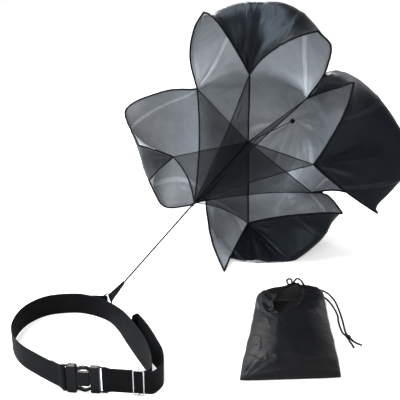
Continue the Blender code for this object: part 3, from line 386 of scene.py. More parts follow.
def grid_mesh(name, columns, rows, place, uv):
    """An open grid of points place(i, j), with the map uv(i, j)."""
    bm = bmesh.new()
    points = [[bm.verts.new(place(i, j)) for i in range(columns + 1)] for j in range(rows + 1)]
    layer = bm.loops.layers.uv.new("weave")
    for j in range(rows):
        for i in range(columns):
            face = bm.faces.new([points[b][a] for a, b in cell(i, j)])
            for loop, (a, b) in zip(face.loops, cell(i, j)):
                loop[layer].uv = uv(a, b)
    return finished(bm, name)


def frames(points, closed=False):
    """A tangent, side and up vector for each point of a line, turning as little as they can."""
    out = []
    count = len(points)
    up = None
    for i, point in enumerate(points):
        before = points[i - 1] if i or closed else points[0]
        after = points[(i + 1) % count] if i < count - 1 or closed else points[-1]
        run = (after - before).normalized()
        if up is None:
            up = Vector((0, 0, 1)) if abs(run.z) < 0.9 else Vector((1, 0, 0))
        side = run.cross(up).normalized()
        up = side.cross(run).normalized()
        out.append((run, side, up))
    return out


def tube_mesh(name, points, radius, sides=10, flat=1.0, closed=False):
    """A tube along a line; radius may be one number or a function of the share along it."""
    bm = bmesh.new()
    layer = bm.loops.layers.uv.new("weave")
    gone = distances(points)
    rings = []
    for far, point, (run, side, up) in zip(gone, points, frames(points, closed)):
        r = radius(far / gone[-1]) if callable(radius) else radius
        ring = []
        for k in range(sides):
            angle = 2 * math.pi * k / sides
            out = side * (math.cos(angle) * r) + up * (math.sin(angle) * r * flat)
            ring.append(bm.verts.new(point + out))
        rings.append(ring)
    pairs = list(zip(range(len(rings)), range(1, len(rings))))
    if closed:
        pairs.append((len(rings) - 1, 0))
    for i, j in pairs:
        far = gone[j] if j else gone[-1]
        for k in range(sides):
            n = (k + 1) % sides
            face = bm.faces.new((rings[i][k], rings[i][n], rings[j][n], rings[j][k]))
            for loop, (u, v) in zip(face.loops, ((gone[i], k), (gone[i], k + 1), (far, k + 1), (far, k))):
                loop[layer].uv = (u, v / sides)
    if not closed:
        bm.faces.new(list(reversed(rings[0])))
        bm.faces.new(rings[-1])
    bmesh.ops.recalc_face_normals(bm, faces=bm.faces)
    return finished(bm, name)


def thicken(item, thickness, inner_slot=0, offset=0.0):
    """Give an open sheet its thickness; the back may have another material."""
    shell = item.modifiers.new("thickness", "SOLIDIFY")
    shell.thickness = thickness
    shell.offset = offset
    shell.material_offset = inner_slot


# Stitches

def stitch_tree():
    """Geometry nodes that lay a stitch at each step along the edges of a mesh."""
    tree = bpy.data.node_groups.new("stitches", "GeometryNodeTree")
    kinds = {"Line": "Geometry", "Pitch": "Float", "Length": "Float", "Radius": "Float", "Thread": "Material"}
    for name, kind in kinds.items():
        tree.interface.new_socket(name, in_out="INPUT", socket_type="NodeSocket" + kind)
    tree.interface.new_socket("Stitches", in_out="OUTPUT", socket_type="NodeSocketGeometry")
    graph = Graph(tree)
    line, pitch, length, radius, colour = (graph.node("NodeGroupInput", output=name) for name in kinds)
    curve = graph.node("GeometryNodeMeshToCurve", {"Mesh": line})
    steps = graph.node("GeometryNodeResampleCurve", {"Curve": curve, "Length": pitch}, mode="LENGTH")
    ball = graph.node("GeometryNodeMeshIcoSphere", {"Radius": 1.0, "Subdivisions": 1})
    tangent = graph.node("GeometryNodeInputTangent")
    way = graph.node("FunctionNodeAlignRotationToVector", {"Vector": tangent}, axis="X")
    size = graph.node("ShaderNodeCombineXYZ", {"X": length * 0.5, "Y": radius, "Z": radius})
    laid = graph.node("GeometryNodeInstanceOnPoints", {
        "Points": steps, "Instance": ball, "Rotation": way, "Scale": size,
    })
    whole = graph.node("GeometryNodeRealizeInstances", {"Geometry": laid})
    dressed = graph.node("GeometryNodeSetMaterial", {"Geometry": whole, "Material": colour})
    graph.node("NodeGroupOutput", {"Stitches": dressed})
    return tree


STITCH_TREE = stitch_tree()


def sew(name, lines, body, slot, pitch=0.0034, length=0.0024, radius=0.00034):
    """Thread along lines that run just over a surface, as one piece."""
    mesh = bpy.data.meshes.new(name)
    edges, first = [], 0
    for line in lines:
        edges += [(first + k, first + k + 1) for k in range(len(line) - 1)]
        first += len(line)
    mesh.from_pydata([tuple(point) for line in lines for point in line], edges, [])
    draft = bpy.data.objects.new(name, mesh)
    bpy.context.scene.collection.objects.link(draft)
    sewing = draft.modifiers.new("sewing", "NODES")
    sewing.node_group = STITCH_TREE
    sizes = {"Pitch": pitch, "Length": length, "Radius": radius, "Thread": thread.made}
    for socket in STITCH_TREE.interface.items_tree:
        if socket.name in sizes:
            sewing[socket.identifier] = sizes[socket.name]
    made = bpy.data.meshes.new_from_object(draft.evaluated_get(bpy.context.evaluated_depsgraph_get()))
    bpy.data.objects.remove(draft)
    return link(name, made, body, ())


# Materials

CLOTH_THREAD_PITCH, CLOTH_THREAD_DEPTH = 0.0011, 0.00006
HEM_EDGE, HEM_EDGE_END, SEAM_DEPTH = 0.0090, 0.0098, 0.0006
CRUMPLE_DEPTH, CREASE_DEPTH = 0.0020, 0.0010
SELVAGE_START, SELVAGE_END = 0.0024, 0.0008
CHEVRONS, CHEVRON_DEPTH, WEBBING_RELIEF = 5, 0.0016, 0.00022
THREAD_RELIEF, BRAID_LAY, BRAID_TURNS, BRAID_RELIEF_SHARE = 0.00008, 3.2, 3, 0.14
MOULDED_RELIEF, DRAWN_RELIEF = 0.00005, 0.00005
NET_PITCH, NET_SLANT, NET_RELIEF = 0.0020, 0.58, 0.0001


def cloth_surface(name, dark, light, roughness, **plain):
    """Coated plain-weave nylon: hems, ribbed seams with a painted highlight along them, soft variation of
    colour, crumples and threads.
    """
    made = Surface(name, **plain)
    u, v = made.weave()
    threads = sine(u, CLOTH_THREAD_PITCH) * sine(v, CLOTH_THREAD_PITCH)
    rim = made.attribute("rim").ramp(HEM_EDGE_END, HEM_EDGE)
    rib_and_highlight = made.attribute("gore").ramp(0.30, 0.60)
    cloud, grain = made.noise(5.0, 3.0), made.noise(60.0, 2.0)
    colour = (cloud * 0.75 + grain * 0.25).ramp(0.30, 0.70).pick(dark, light)
    hemmed = (rim * 0.30).pick(colour, shade(dark, 0.75))
    # Painted highlight along the ribbed seams: their colour is lifted towards a much lighter tone.
    made.set("Base Color", (rib_and_highlight * 0.65).pick(hemmed, shade(light, 1.9)))
    made.set("Roughness", cloud * 0.16 + grain * 0.08 + (roughness - 0.12))
    made.bump(made.noise(34.0, 4.0, 0.55, warp=0.6), CRUMPLE_DEPTH, 0.30)
    drawn = abs(made.noise(17.0, 2.0, 0.5, made.place("Object", (1.0, 1.0, 0.22)), 0.7) - 0.5)
    made.bump(drawn.ramp(0.055, 0.0) * cloud.ramp(0.42, 0.62), CREASE_DEPTH, 0.7)
    made.bump(higher(rim, rib_and_highlight), SEAM_DEPTH, 0.8)
    made.bump(threads, CLOTH_THREAD_DEPTH, 0.30)
    return made


def webbing_surface(name, dark, light, pitch=0.0019, width=WEBBING_WIDTH):
    """Woven strap: chevron rows over its width and a closer selvage."""
    made = Surface(name, specular_ior_level=0.07)
    u, v = made.weave()
    chevron = made.math("COSINE", phase(v, width / CHEVRONS)) * CHEVRON_DEPTH
    cords = sine(v, pitch * 0.8)
    body = sine(u + chevron, pitch) * 0.5 + cords * 0.3 + made.noise(900.0, 2.0) * 0.4
    wear = made.noise(28.0, 3.0)
    selvage = abs(v - width / 2).ramp(width / 2 - SELVAGE_START, width / 2 - SELVAGE_END)
    colour = (body * 0.5 + wear * 0.7).ramp(0.1, 0.9).pick(dark, light)
    made.set("Base Color", (selvage * 0.5).pick(colour, shade(light, 1.6)))
    made.set("Roughness", wear * 0.14 + 0.62)
    made.bump(body, WEBBING_RELIEF, 0.75)
    return made


def thread_surface(name, colour):
    """Sewing thread with its twist."""
    made = Surface(name, roughness=0.55, sheen_weight=0.2)
    twist = made.noise(1400.0, 1.0)
    made.set("Base Color", twist.pick(shade(colour, 0.7), colour))
    made.bump(twist, THREAD_RELIEF, 0.5)
    return made


def cord_surface(name, dark, light, radius):
    """Braided cord: two sets of strands that cross."""
    made = Surface(name, specular_ior_level=0.10)
    u, v = made.weave()
    run, turn = phase(u, radius * BRAID_LAY), phase(v, 1 / BRAID_TURNS)
    braid = higher(made.math("SINE", run + turn), made.math("SINE", run - turn))
    made.set("Base Color", (braid * 0.5 + made.noise(300.0) * 0.6).ramp(0.1, 0.9).pick(dark, light))
    made.set("Roughness", 0.66 - braid * 0.10)
    made.bump(braid, radius * BRAID_RELIEF_SHARE, 0.8)
    return made


def plastic_surface(name, dark, light):
    """Moulded acetal: fine texture and a smeared sheen."""
    made = Surface(name, specular_ior_level=0.12, coat_weight=0.01, coat_roughness=0.2)
    grain, smear = made.noise(1500.0, 2.0), made.noise(70.0, 3.0)
    made.set("Base Color", (smear * 0.7 + grain * 0.3).ramp(0.3, 0.7).pick(dark, light))
    made.set("Roughness", smear * 0.16 + grain * 0.08 + 0.22)
    made.bump(grain, MOULDED_RELIEF, 0.45)
    return made


def plated_surface(name, bright, dull):
    """Plated wire with faint drawing marks and a few rubbed spots."""
    made = Surface(name, metallic=1.0)
    drawn = made.noise(240.0, 3.0, vector=made.place("Object", (1, 1, 0.15)))
    worn = made.noise(95.0, 2.0)
    made.set("Base Color", worn.ramp(0.35, 0.7).pick(bright, dull))
    made.set("Roughness", drawn * 0.14 + worn * 0.12 + 0.10)
    made.bump(drawn, DRAWN_RELIEF, 0.4)
    return made


def net_surface(name):
    """Fine knitted mesh that is seen through between its threads."""
    made = Surface(name, roughness=0.7, specular_ior_level=0.08)
    u, v = made.weave()
    slant = v * NET_SLANT
    hole = made.math("MINIMUM", abs(sine(u + slant, NET_PITCH)), abs(sine(u - slant, NET_PITCH)))
    slack = made.noise(14.0, 3.0)
    made.set("Base Color", slack.ramp(0.3, 0.7).pick((0.003, 0.0035, 0.004), (0.009, 0.010, 0.011)))
    made.set("Alpha", made.math("MINIMUM", hole.ramp(0.75, 0.20) * 0.45 + slack * 0.24 + 0.24, 1.0))
    made.bump(hole, NET_RELIEF, 0.4)
    return made


outer_cloth = cloth_surface("canopy_outer", (0.0018, 0.0021, 0.0028), (0.0042, 0.0050, 0.0066), 0.36,
                            specular_ior_level=0.13, specular_tint=(0.70, 0.84, 1.0, 1))
# The inner face is far lighter than the outer: partly its grey coating, partly painted light that shines
# through the thin cloth.
inner_cloth = cloth_surface("canopy_inner", (0.182, 0.192, 0.204), (0.244, 0.258, 0.275), 0.34,
                            specular_ior_level=0.40)
bag_cloth = cloth_surface("bag_cloth", (0.0026, 0.0027, 0.0030), (0.0046, 0.0047, 0.0052), 0.38,
                          specular_ior_level=0.11)
lining = cloth_surface("bag_lining", (0.0080, 0.0081, 0.0086), (0.0150, 0.0152, 0.0160), 0.55,
                       specular_ior_level=0.20)
binding = webbing_surface("binding", (0.0010, 0.0010, 0.0012), (0.0030, 0.0030, 0.0035), 0.0012, 0.011)
strap = webbing_surface("strap", (0.0016, 0.0016, 0.0019), (0.0052, 0.0052, 0.0058))
narrow_strap = webbing_surface("narrow_strap", (0.0036, 0.0036, 0.0042), (0.0120, 0.0120, 0.0130), 0.0015,
                               TAB_WIDTH)
thread = thread_surface("thread", (0.013, 0.013, 0.015))
tow_braid = cord_surface("tow_braid", (0.0020, 0.0020, 0.0023), (0.0080, 0.0080, 0.0090), TOW_RADIUS)
black_braid = cord_surface("black_braid", (0.0014, 0.0014, 0.0017), (0.0045, 0.0045, 0.0052), STRING_RADIUS)
plastic = plastic_surface("acetal", (0.0018, 0.0018, 0.0021), (0.0042, 0.0042, 0.0048))
nickel = plated_surface("nickel_wire", (0.70, 0.71, 0.73), (0.50, 0.50, 0.50))
black_oxide = plated_surface("black_oxide_wire", (0.020, 0.020, 0.022), (0.11, 0.11, 0.115))
net = net_surface("net")


# Canopy, in the tow frame: X to the right, Y back along the tow line, Z up

COLUMNS, ROWS = 96, 84
HEAD = Vector((0, TOW_LENGTH, 0))
LOBE_DEPTH = PANEL_SIDE * ROWS / COLUMNS
CLOTH_THICKNESS, CLOTH_SPAN = 0.0005, PANEL_SIDE * 2.9
GORE_REACH, GORE_START, GORE_RISE = 0.012, 0.020, 0.0018
PANEL_ROLL, CORNER_HOLD, ROLL_ROUNDS = 0.060, 0.020, 60
EDGE_FOLD = 0.090
PUCKER_PITCHES, PUCKER_DEPTH, PUCKER_REACH = (0.026, 0.041), 0.00015, 0.014
CLOTH_THREAD_LIFT, CLOTH_STITCH = 0.00045, (0.0050, 0.0034, 0.00028)
BULGE_SKEW = 0.45


def sewn(share):
    """A canopy point from its share of a panel's side, measured from the head of the nets."""
    return Vector(share) * PANEL_SIDE + HEAD


def on_floor(point, clear=HEM_RADIUS):
    """The same canopy point, lifted to lie on the floor if it is below it."""
    up = Vector((0, math.sin(TOW_RISE), math.cos(TOW_RISE)))
    return point + up * max(clear - (RING_HEIGHT + point.dot(up)), 0)


def bend(a, middle, b, t):
    """The point at t of the parabola through two ends and a middle."""
    return a * ((1 - t) * (1 - t * 2)) + middle * (t * (1 - t) * 4) + b * (t * (t * 2 - 1))


CENTRE_GRID = [[sewn(share) for share in row] for row in (
    (CORNERS["bottom_left"], ROOTS["bottom"], CORNERS["bottom_right"]),
    (ROOTS["left"], APEX, ROOTS["right"]),
    (CORNERS["top_left"], ROOTS["top"], CORNERS["top_right"]),
)]


def centre_point(s, t):
    """The centre panel: s from left to right, t from bottom to top."""
    return bend(*(bend(*row, s) for row in CENTRE_GRID), t)


def lobe_point(side, s, t):
    """One lobe: s across it from its first rim, t from the centre panel to its lip."""
    lobe = LOBES[side]
    k = 0 if s <= 0.5 else 1
    near, far = (LOBE_CORNERS[side][n] for n in (k, 1 - k))
    rim = [sewn(share) for share in (CORNERS[near], *lobe["rims"][k])]
    column = [sewn(share) for share in (ROOTS[side], *lobe["crest"], TIPS[side])]
    v = abs(s - k) * 2
    root = bend(rim[0], column[0], sewn(CORNERS[far]), v / 2)
    lip = bend(rim[-1], sewn(lobe["lip"][k]), column[-1], v)
    flat = (along(rim, t).lerp(along(column, t), v) + root.lerp(lip, t)
            - rim[0].lerp(column[0], v).lerp(rim[-1].lerp(column[-1], v), t))
    heart = (rim[0] + rim[-1] + column[0] + column[-1] * 3) / 6
    swell = lobe["billow"][k] * PANEL_SIDE * math.sin(math.pi * v) * math.sin(math.pi * t)
    *way, pace = lobe["bulges"][k]
    bulge = Vector(way) * (PANEL_SIDE * math.sin(math.pi * v ** BULGE_SKEW) * math.sin(math.pi * t ** pace))
    return on_floor(flat + (flat - heart).normalized() * swell + bulge)


def hump(r, near, far):
    """0 at the middle, 1 at near, and gone by far."""
    if r >= far:
        return 0.0
    rise = min(r / near, 1.0)
    fall = 1 - max(r - near, 0) / (far - near)
    return rise * rise * (3 - 2 * rise) * fall * fall * (3 - 2 * fall)


# Places that pull the cloth: where, how many folds, how deep, and how far they reach
PULLS = (
    (sewn(APEX), 2.6, 0.0060, 0.050, 0.300),
    *((sewn(TIPS[side]), 3.6, 0.0042, 0.045, 0.170) for side in TIPS),
    *((sewn(CORNERS[name]), 3.0, 0.0036, 0.060, 0.220) for name in CORNERS),
)


CALM_REACH, FLAT_SHARE = 0.10, 0.35
SLOW_DEPTH, DRAPE_DEPTH, CRISP_DEPTH, CRUMPLE_HEIGHT = 0.0080, 0.0034, 0.0026, 0.0008


def fold(point, border):
    """How far the cloth stands off its smooth form at a point; border is 0 on its edge."""
    high = 0.0
    calm = 1.0
    for k, (place, count, depth, near, far) in enumerate(PULLS):
        out = point - place
        r = out.length
        if r < far and r > 1e-6:
            ray = out / r * count + Vector((k * 7.3, k * 3.1, 0))
            ridge = 0.42 - abs(noise.noise(ray)) * 1.6
            fine = 0.30 - abs(noise.noise(ray * 2.6)) * 1.1
            high += (ridge + fine * 0.45) * depth * hump(r, near, far)
        calm = min(calm, r / CALM_REACH)
    calm = max(calm, 0.0) ** 1.4
    slow = noise.noise(point * 5.2 + Vector((3, 1, 8))) * SLOW_DEPTH
    drape = noise.noise(Vector((point.x * 7, point.y * 15, point.z * 9))) * DRAPE_DEPTH
    crisp = (0.26 - abs(noise.noise(point * 17))) * CRISP_DEPTH
    crumple = (0.24 - abs(noise.noise(point * 41 + Vector((5, 0, 2))))) * CRUMPLE_HEIGHT
    return high + calm * (FLAT_SHARE + (1 - FLAT_SHARE) * border) * (slow + drape + crisp + crumple)


def gore(side, k, t):
    """The share across a lobe at which its seam k runs, from the panel's corner and up the lobe."""
    reach, pace = LOBES[side]["gores"][k]
    across = reach * (1 - math.exp(-t / pace))
    return 1 - across if k else across


def sewn_grid(bm, rims, gores):
    """The points of panel and lobes by patch, column and row, how far each is from the seam between
    them, and how far along its hem each lies. Rims and gores are the marks of hems and ribbed seams."""
    seams = {
        "top": lambda s: (s, 1), "right": lambda s: (1, 1 - s),
        "bottom": lambda s: (1 - s, 0), "left": lambda s: (0, s),
    }
    grid, to_panel, run = {}, {}, {}
    for j in range(COLUMNS + 1):
        for i in range(COLUMNS + 1):
            s, t = i / COLUMNS, j / COLUMNS
            vert = grid["centre", i, j] = bm.verts.new(centre_point(s, t))
            vert[rims] = PANEL_SIDE
            to_panel[vert] = min(s, 1 - s, t, 1 - t) * PANEL_SIDE
            run[vert] = 0
    for side, seam in seams.items():
        for i in range(COLUMNS + 1):
            a, b = seam(i / COLUMNS)
            grid[side, i, 0] = grid["centre", round(a * COLUMNS), round(b * COLUMNS)]
        for j in range(1, ROWS + 1):
            for i in range(COLUMNS + 1):
                s, t = i / COLUMNS, j / ROWS
                vert = grid[side, i, j] = bm.verts.new(lobe_point(side, s, t))
                to_rim, to_lip = min(s, 1 - s) * PANEL_SIDE, (1 - t) * LOBE_DEPTH
                to_gore = min(abs(s - gore(side, k, t)) for k in (0, 1)) * PANEL_SIDE
                to_panel[vert] = t * LOBE_DEPTH
                vert[rims] = min(to_rim, to_lip)
                vert[gores] = max(1 - to_gore / GORE_REACH, 0) * min(to_panel[vert] / GORE_START, 1)
                run[vert] = (s if to_lip < to_rim else t) * PANEL_SIDE
    return grid, to_panel, run


def facing_back(bm, vert):
    """Turn the cloth so that its outer face looks away from the runner."""
    bmesh.ops.recalc_face_normals(bm, faces=bm.faces)
    bm.normal_update()
    if vert.normal.y < 0:
        bmesh.ops.reverse_faces(bm, faces=bm.faces)
    bm.normal_update()


def seam_rows(grid):
    """The lines of thread along hems and ribbed seams, on both faces of the cloth."""
    spots = []
    for side in LOBES:
        spots.append((side, [(i, ROWS - 2) for i in range(2, COLUMNS - 1)]))
        for k in (0, 1):
            spots.append((side, [(2 + k * (COLUMNS - 4), j) for j in range(2, ROWS - 1)]))
            for aside in (-0.6, 0.6):
                line = [(gore(side, k, j / ROWS) * COLUMNS + aside, j) for j in range(6, ROWS - 1)]
                spots.append((side, line))
    rows = []
    for side, line in spots:
        for face in (1, -1):
            row = []
            for i, j in line:
                low, high = grid[side, math.floor(i), j], grid[side, math.ceil(i), j]
                row.append(low.co.lerp(high.co, i % 1) + low.normal * (face * CLOTH_THREAD_LIFT))
            rows.append(row)
    return rows


def make_canopy():
    """The cross-shaped cloth in one piece: a centre panel and the four lobes sewn to it."""
    bm = bmesh.new()
    rims, gores = (bm.verts.layers.float.new(name) for name in ("rim", "gore"))
    weave = bm.loops.layers.uv.new("weave")
    grid, to_panel, run = sewn_grid(bm, rims, gores)
    for patch, rows in (("centre", COLUMNS), *((side, ROWS) for side in LOBES)):
        for j in range(rows):
            for i in range(COLUMNS):
                face = bm.faces.new([grid[patch, a, b] for a, b in cell(i, j)])
                for loop, (a, b) in zip(face.loops, cell(i, j)):
                    loop[weave].uv = (a / COLUMNS * PANEL_SIDE, b / COLUMNS * PANEL_SIDE)
    corners = [sewn(share) for share in CORNERS.values()]
    rolled = [vert for vert, gap in to_panel.items() if gap < PANEL_ROLL and not vert.is_boundary
              and min((vert.co - corner).length for corner in corners) > CORNER_HOLD]
    for _ in range(ROLL_ROUNDS):
        bmesh.ops.smooth_vert(bm, verts=rolled, factor=0.5, use_axis_x=True, use_axis_y=True, use_axis_z=True)
    facing_back(bm, grid["centre", COLUMNS // 2, COLUMNS // 2])
    moved = {}
    for vert, way in run.items():
        rim = vert[rims]
        high = fold(vert.co, min(rim / EDGE_FOLD, 1.0)) + GORE_RISE * vert[gores] ** 2
        pucker = sum(math.sin(way * 2 * math.pi / pitch) for pitch in PUCKER_PITCHES)
        high += pucker * PUCKER_DEPTH * math.exp(-rim / PUCKER_REACH)
        moved[vert] = on_floor(vert.co + vert.normal * high, HEM_RADIUS * 1.2)
    for vert, place in moved.items():
        vert.co = place
    bmesh.ops.transform(bm, matrix=TOW, verts=bm.verts)
    bm.normal_update()
    rows_sewn = seam_rows(grid)
    hems = {}
    for side in LOBES:
        for k in (0, 1):
            rim = [grid[side, k * COLUMNS, j].co.copy() for j in range(ROWS + 1)]
            lip = [grid[side, abs(k * COLUMNS - i), ROWS].co.copy() for i in range(1, COLUMNS // 2 + 1)]
            hems[f"{side}_lobe_hem_{k + 1}"] = rim + lip
    area = sum(face.calc_area() for face in bm.faces)
    nodes = ("centre_panel", *(side + "_lobe" for side in LOBES))
    mesh = finished(bm, "canopy_cloth")
    cloth = link("canopy_cloth", mesh, "canopy", (outer_cloth, inner_cloth), nodes)
    thicken(cloth, CLOTH_THICKNESS, inner_slot=1)
    pieces = [stand_in(name, tube_mesh(name, line, HEM_RADIUS * HEM_FULLNESS, 8), "canopy", binding)
              for name, line in hems.items()]
    pieces.append(sew("canopy_stitches", rows_sewn, "canopy", "centre_panel", *CLOTH_STITCH))


# Nets

NET_START = TOW_LENGTH - NET_SHARE * PANEL_SIDE
NET_COLUMNS, NET_ROWS = 40, 36
NET_CLEAR, NET_HOLD = 0.004, 0.0012
NET_SAG, NET_DRAW = 0.011, 0.006
FLUTTER, NET_CREASE = 0.011, 0.006
NET_TAPE_RADIUS, NET_TAPE_FLAT = 0.0023, 0.5


def make_nets():
    """Eight fins of mesh with taped edges, from the tow line to the corners and lip tips."""
    anchors = {name + "_net": sewn(share) for name, share in CORNERS.items()}
    anchors.update({side + "_lip_net": sewn(share) for side, share in TIPS.items()})
    for number, (name, anchor) in enumerate(anchors.items()):
        radial = Vector((anchor.x, 0, anchor.z)).normalized()
        side = radial.cross(Vector((0, 1, 0))).normalized()
        near = Vector((0, NET_START + NET_CLEAR, 0)) + radial * NET_HOLD
        head = HEAD + radial * NET_HOLD
        back = (head - near).normalized()

        def place(i, j):
            s, t = i / NET_COLUMNS, j / NET_ROWS
            bow = math.sin(math.pi * t)
            point = near.lerp(head, s).lerp(anchor, t)
            point += back * (bow * NET_SAG * (1 - s) * (1 - s)) - radial * (bow * NET_DRAW * (1 - s))
            flutter = noise.noise(Vector((s * 2.2, t * 5.0, number * 9.7))) * FLUTTER
            crease = (0.3 - abs(noise.noise(Vector((s * 5.5, t * 3.0, number * 4.1))))) * NET_CREASE
            point += side * ((flutter + crease) * bow * math.sin(math.pi * min(max(s, 0.04), 0.96)))
            return TOW @ point

        def cut(i, j):
            s, t = i / NET_COLUMNS, j / NET_ROWS
            return ((head - near).length * s * (1 - t), (anchor - near).length * t)
        mesh = grid_mesh(name, NET_COLUMNS, NET_ROWS, place, cut)
        bm = bmesh.new()
        bm.from_mesh(mesh)
        bmesh.ops.remove_doubles(bm, verts=bm.verts, dist=1e-6)
        bm.to_mesh(mesh)
        bm.free()
        fin = stand_in(name, mesh, "canopy", net)
        for k, column in enumerate((0, NET_COLUMNS)):
            edge = [place(column, j) for j in range(NET_ROWS + 1)]
            tape_name = f"{name}_tape_{k + 1}"
            tape = tube_mesh(tape_name, edge, NET_TAPE_RADIUS, 8, NET_TAPE_FLAT)
            link(tape_name, tape, "canopy", [binding])
        wide, long = (head - near).length, (anchor - (near + head) / 2).length


# Head of the nets

NET_TAPE_WIDE, NET_TAPE_WIDENING = 0.0026 * 0.80, 0.0026 * 0.25
WHIPPING_TURNS, WHIPPING_STEPS = 5, 16
WHIPPING_WIDE, WHIPPING_CORD, WHIPPING_CORE, WHIPPING_INSET = 0.0027, 0.00145, 0.0021, 0.0016
TIP_KNOT_START = NET_START - 0.0006 - TIP_KNOT_LENGTH
PATCH_SIDE, PATCH_THICKNESS, PATCH_LIFT, PATCH_CROWN = 0.020, 0.0016, 0.0022, 0.0006
PATCH_CELLS, PATCH_WEAVE = 10, 0.0014
APEX_CORD_RADIUS, APEX_CORD_START, APEX_CORD_LIFT = 0.0012, 0.0020, 0.0030


def make_net_tape():
    """The tape that the fins are sewn to."""
    line = straight(TOW @ Vector((0, NET_START, 0)), TOW @ HEAD, 40)

    def swell(share):
        return NET_TAPE_WIDE + NET_TAPE_WIDENING * share
    stand_in("net_tape", tube_mesh("net_tape", line, swell, 12, 0.8), "canopy", binding)


def make_tip_knot():
    """Cord whipped round the nets' ends."""
    coil = []
    count = WHIPPING_TURNS * WHIPPING_STEPS
    for k in range(count + 1):
        angle, share = 2 * math.pi * k / WHIPPING_STEPS, k / count
        swell = math.sin(math.pi * min(max(share, 0.06), 0.94)) ** 0.5
        wide = WHIPPING_WIDE * (0.55 + 0.45 * swell)
        far = TIP_KNOT_START + WHIPPING_INSET + (TIP_KNOT_LENGTH - WHIPPING_INSET * 2) * share
        coil.append(TOW @ Vector((math.cos(angle) * wide, far, math.sin(angle) * wide)))
    mesh = tube_mesh("tip_knot", coil, WHIPPING_CORD, 8)
    ends = [TOW @ Vector((0, TIP_KNOT_START + far, 0)) for far in (0, TIP_KNOT_LENGTH)]
    core = tube_mesh("core", straight(*ends, 6), WHIPPING_CORE, 10)
    bm = bmesh.new()
    bm.from_mesh(mesh)
    bm.from_mesh(core)
    bm.to_mesh(mesh)
    bm.free()
    stand_in("tip_knot", mesh, "canopy", black_braid)


def make_apex():
    """The patch on the centre panel and the cord from the head of the nets to it."""
    away = PATCH_SIDE / PANEL_SIDE / 2
    middle = centre_point(0.5, 0.5)
    right, up = centre_point(0.5 + away, 0.5) - middle, centre_point(0.5, 0.5 + away) - middle
    normal = right.cross(up).normalized()
    if normal.y > 0:
        normal = -normal

    def place(i, j):
        a, b = (i / PATCH_CELLS - 0.5) * 2, (j / PATCH_CELLS - 0.5) * 2
        point = centre_point(0.5 + (a + b) / 2 * away, 0.5 + (a - b) / 2 * away)
        return TOW @ (point + normal * (PATCH_LIFT + PATCH_CROWN * (1 - max(abs(a), abs(b)) ** 6)))

    def cut(i, j):
        return i * PATCH_WEAVE, j * PATCH_WEAVE
    mesh = grid_mesh("apex_patch", PATCH_CELLS, PATCH_CELLS, place, cut)
    thicken(stand_in("apex_patch", mesh, "canopy", narrow_strap), PATCH_THICKNESS)
    end = middle + normal * APEX_CORD_LIFT
    start = HEAD + (end - HEAD).normalized() * APEX_CORD_START
    line = straight(TOW @ start, TOW @ end, 12)
    cord = stand_in("apex_cord", tube_mesh("apex_cord", line, APEX_CORD_RADIUS), "canopy", black_braid)
    length_of(line)


# Belt

def waist(share):
    """A plan point of the belt from its share of the waist loop."""
    return Vector((share[0] * WAIST_LOOP + SHIFT.x, share[1] * WAIST_LOOP + SHIFT.y, 0))


UP = Vector((0, 0, 1))
RUN = Vector((math.cos(FRONT_ANGLE), math.sin(FRONT_ANGLE), 0))
OUT = Vector((math.sin(FRONT_ANGLE), -math.cos(FRONT_ANGLE), 0))
THREAD_LIFT = WEBBING_THICKNESS / 2 + 0.0001
ROW_INSET, BOX_INSET = 0.005, 0.004
FOLD_ROW_START, FOLD_ROW_STEPS, TAIL_ROW_STEPS = 0.010, (7, 9), (9, 11)
KEEPER_BOX_SHARES = ((0.03, 0.30), (0.70, 0.97))
EYE_STEPS, WEBBING_ROWS, SELVAGE_SHARE, SELVAGE_THINNING = 18, 14, 0.10, 0.45
BLEND_START, BLEND_END = PLUG_BAR + 0.006, ADJUSTER_PLACE - ADJUSTER_LENGTH / 2 - 0.002


def front(u, w=0.0):
    """A plan point on the straight front strap, w outwards from it."""
    return waist(BUCKLE_START) + RUN * u + OUT * w


def lift(point):
    """Height of the belt's lower edge: the buckle's overhang at the front, nothing at the rear."""
    rear = max(share[1] for share in WAIST_PATH) * WAIST_LOOP + SHIFT.y
    depth = rear - BUCKLE_START[1] * WAIST_LOOP - SHIFT.y
    return FRONT_LIFT * min(max((rear - point.y) / depth, 0), 1)


def eased(value, limits):
    """0 at the first limit, 1 at the second, smooth between."""
    t = min(max((value - limits[0]) / (limits[1] - limits[0]), 0), 1)
    return t * t * (3 - t * 2)


def leaned(point):
    """The belt point moved out by the lean of its rear right, more towards its upper edge."""
    x, y = (point.x - SHIFT.x) / WAIST_LOOP, (point.y - SHIFT.y) / WAIST_LOOP
    share = eased(x, LEAN_X_SHARES) * eased(y, LEAN_Y_SHARES) * (point.z / WEBBING_WIDTH - LEAN_MIDDLE_SHARE)
    return point + Vector((math.cos(LEAN_HEADING), math.sin(LEAN_HEADING), 0)) * (LEAN * share)


def beside(path, i, distance):
    """Point i of a plan path moved to its right by a distance."""
    run = (path[min(i + 1, len(path) - 1)] - path[max(i - 1, 0)]).normalized()
    return path[i] + Vector((run.y, -run.x, 0)) * distance


def looped(path, bar_radius, right_reach, left_reach, slack):
    """Webbing turned round a bar at the path's first point, in along its left and out along its right."""
    wide = bar_radius + GAP + WEBBING_THICKNESS / 2

    def side(sign, reach):
        line = []
        for i, gone in enumerate(distances(path)):
            if gone > reach:
                break
            near = (1 + math.cos(math.pi * min(gone / EYE_RUN, 1))) / 2
            line.append(beside(path, i, sign * (LAYER / 2 + (wide - LAYER / 2) * near)))
        return line

    right, left = side(1, right_reach), side(-1, left_reach)
    across = (right[0] - path[0]).normalized()
    ahead = Vector((across.y, -across.x, 0))
    if ahead.dot(path[1] - path[0]) > 0:
        ahead = -ahead
    arc = []
    for k in range(1, EYE_STEPS):
        angle = math.pi * k / EYE_STEPS
        arc.append(path[0] + across * (-wide * math.cos(angle)) + ahead * ((wide + slack) * math.sin(angle)))
    return list(reversed(left)) + arc + right


def dense(points, step):
    """A polyline with points no further apart than a step."""
    line = points[:1]
    for a, b in zip(points, points[1:]):
        line += straight(a, b, max(1, math.ceil((b - a).length / step)))[1:]
    return line


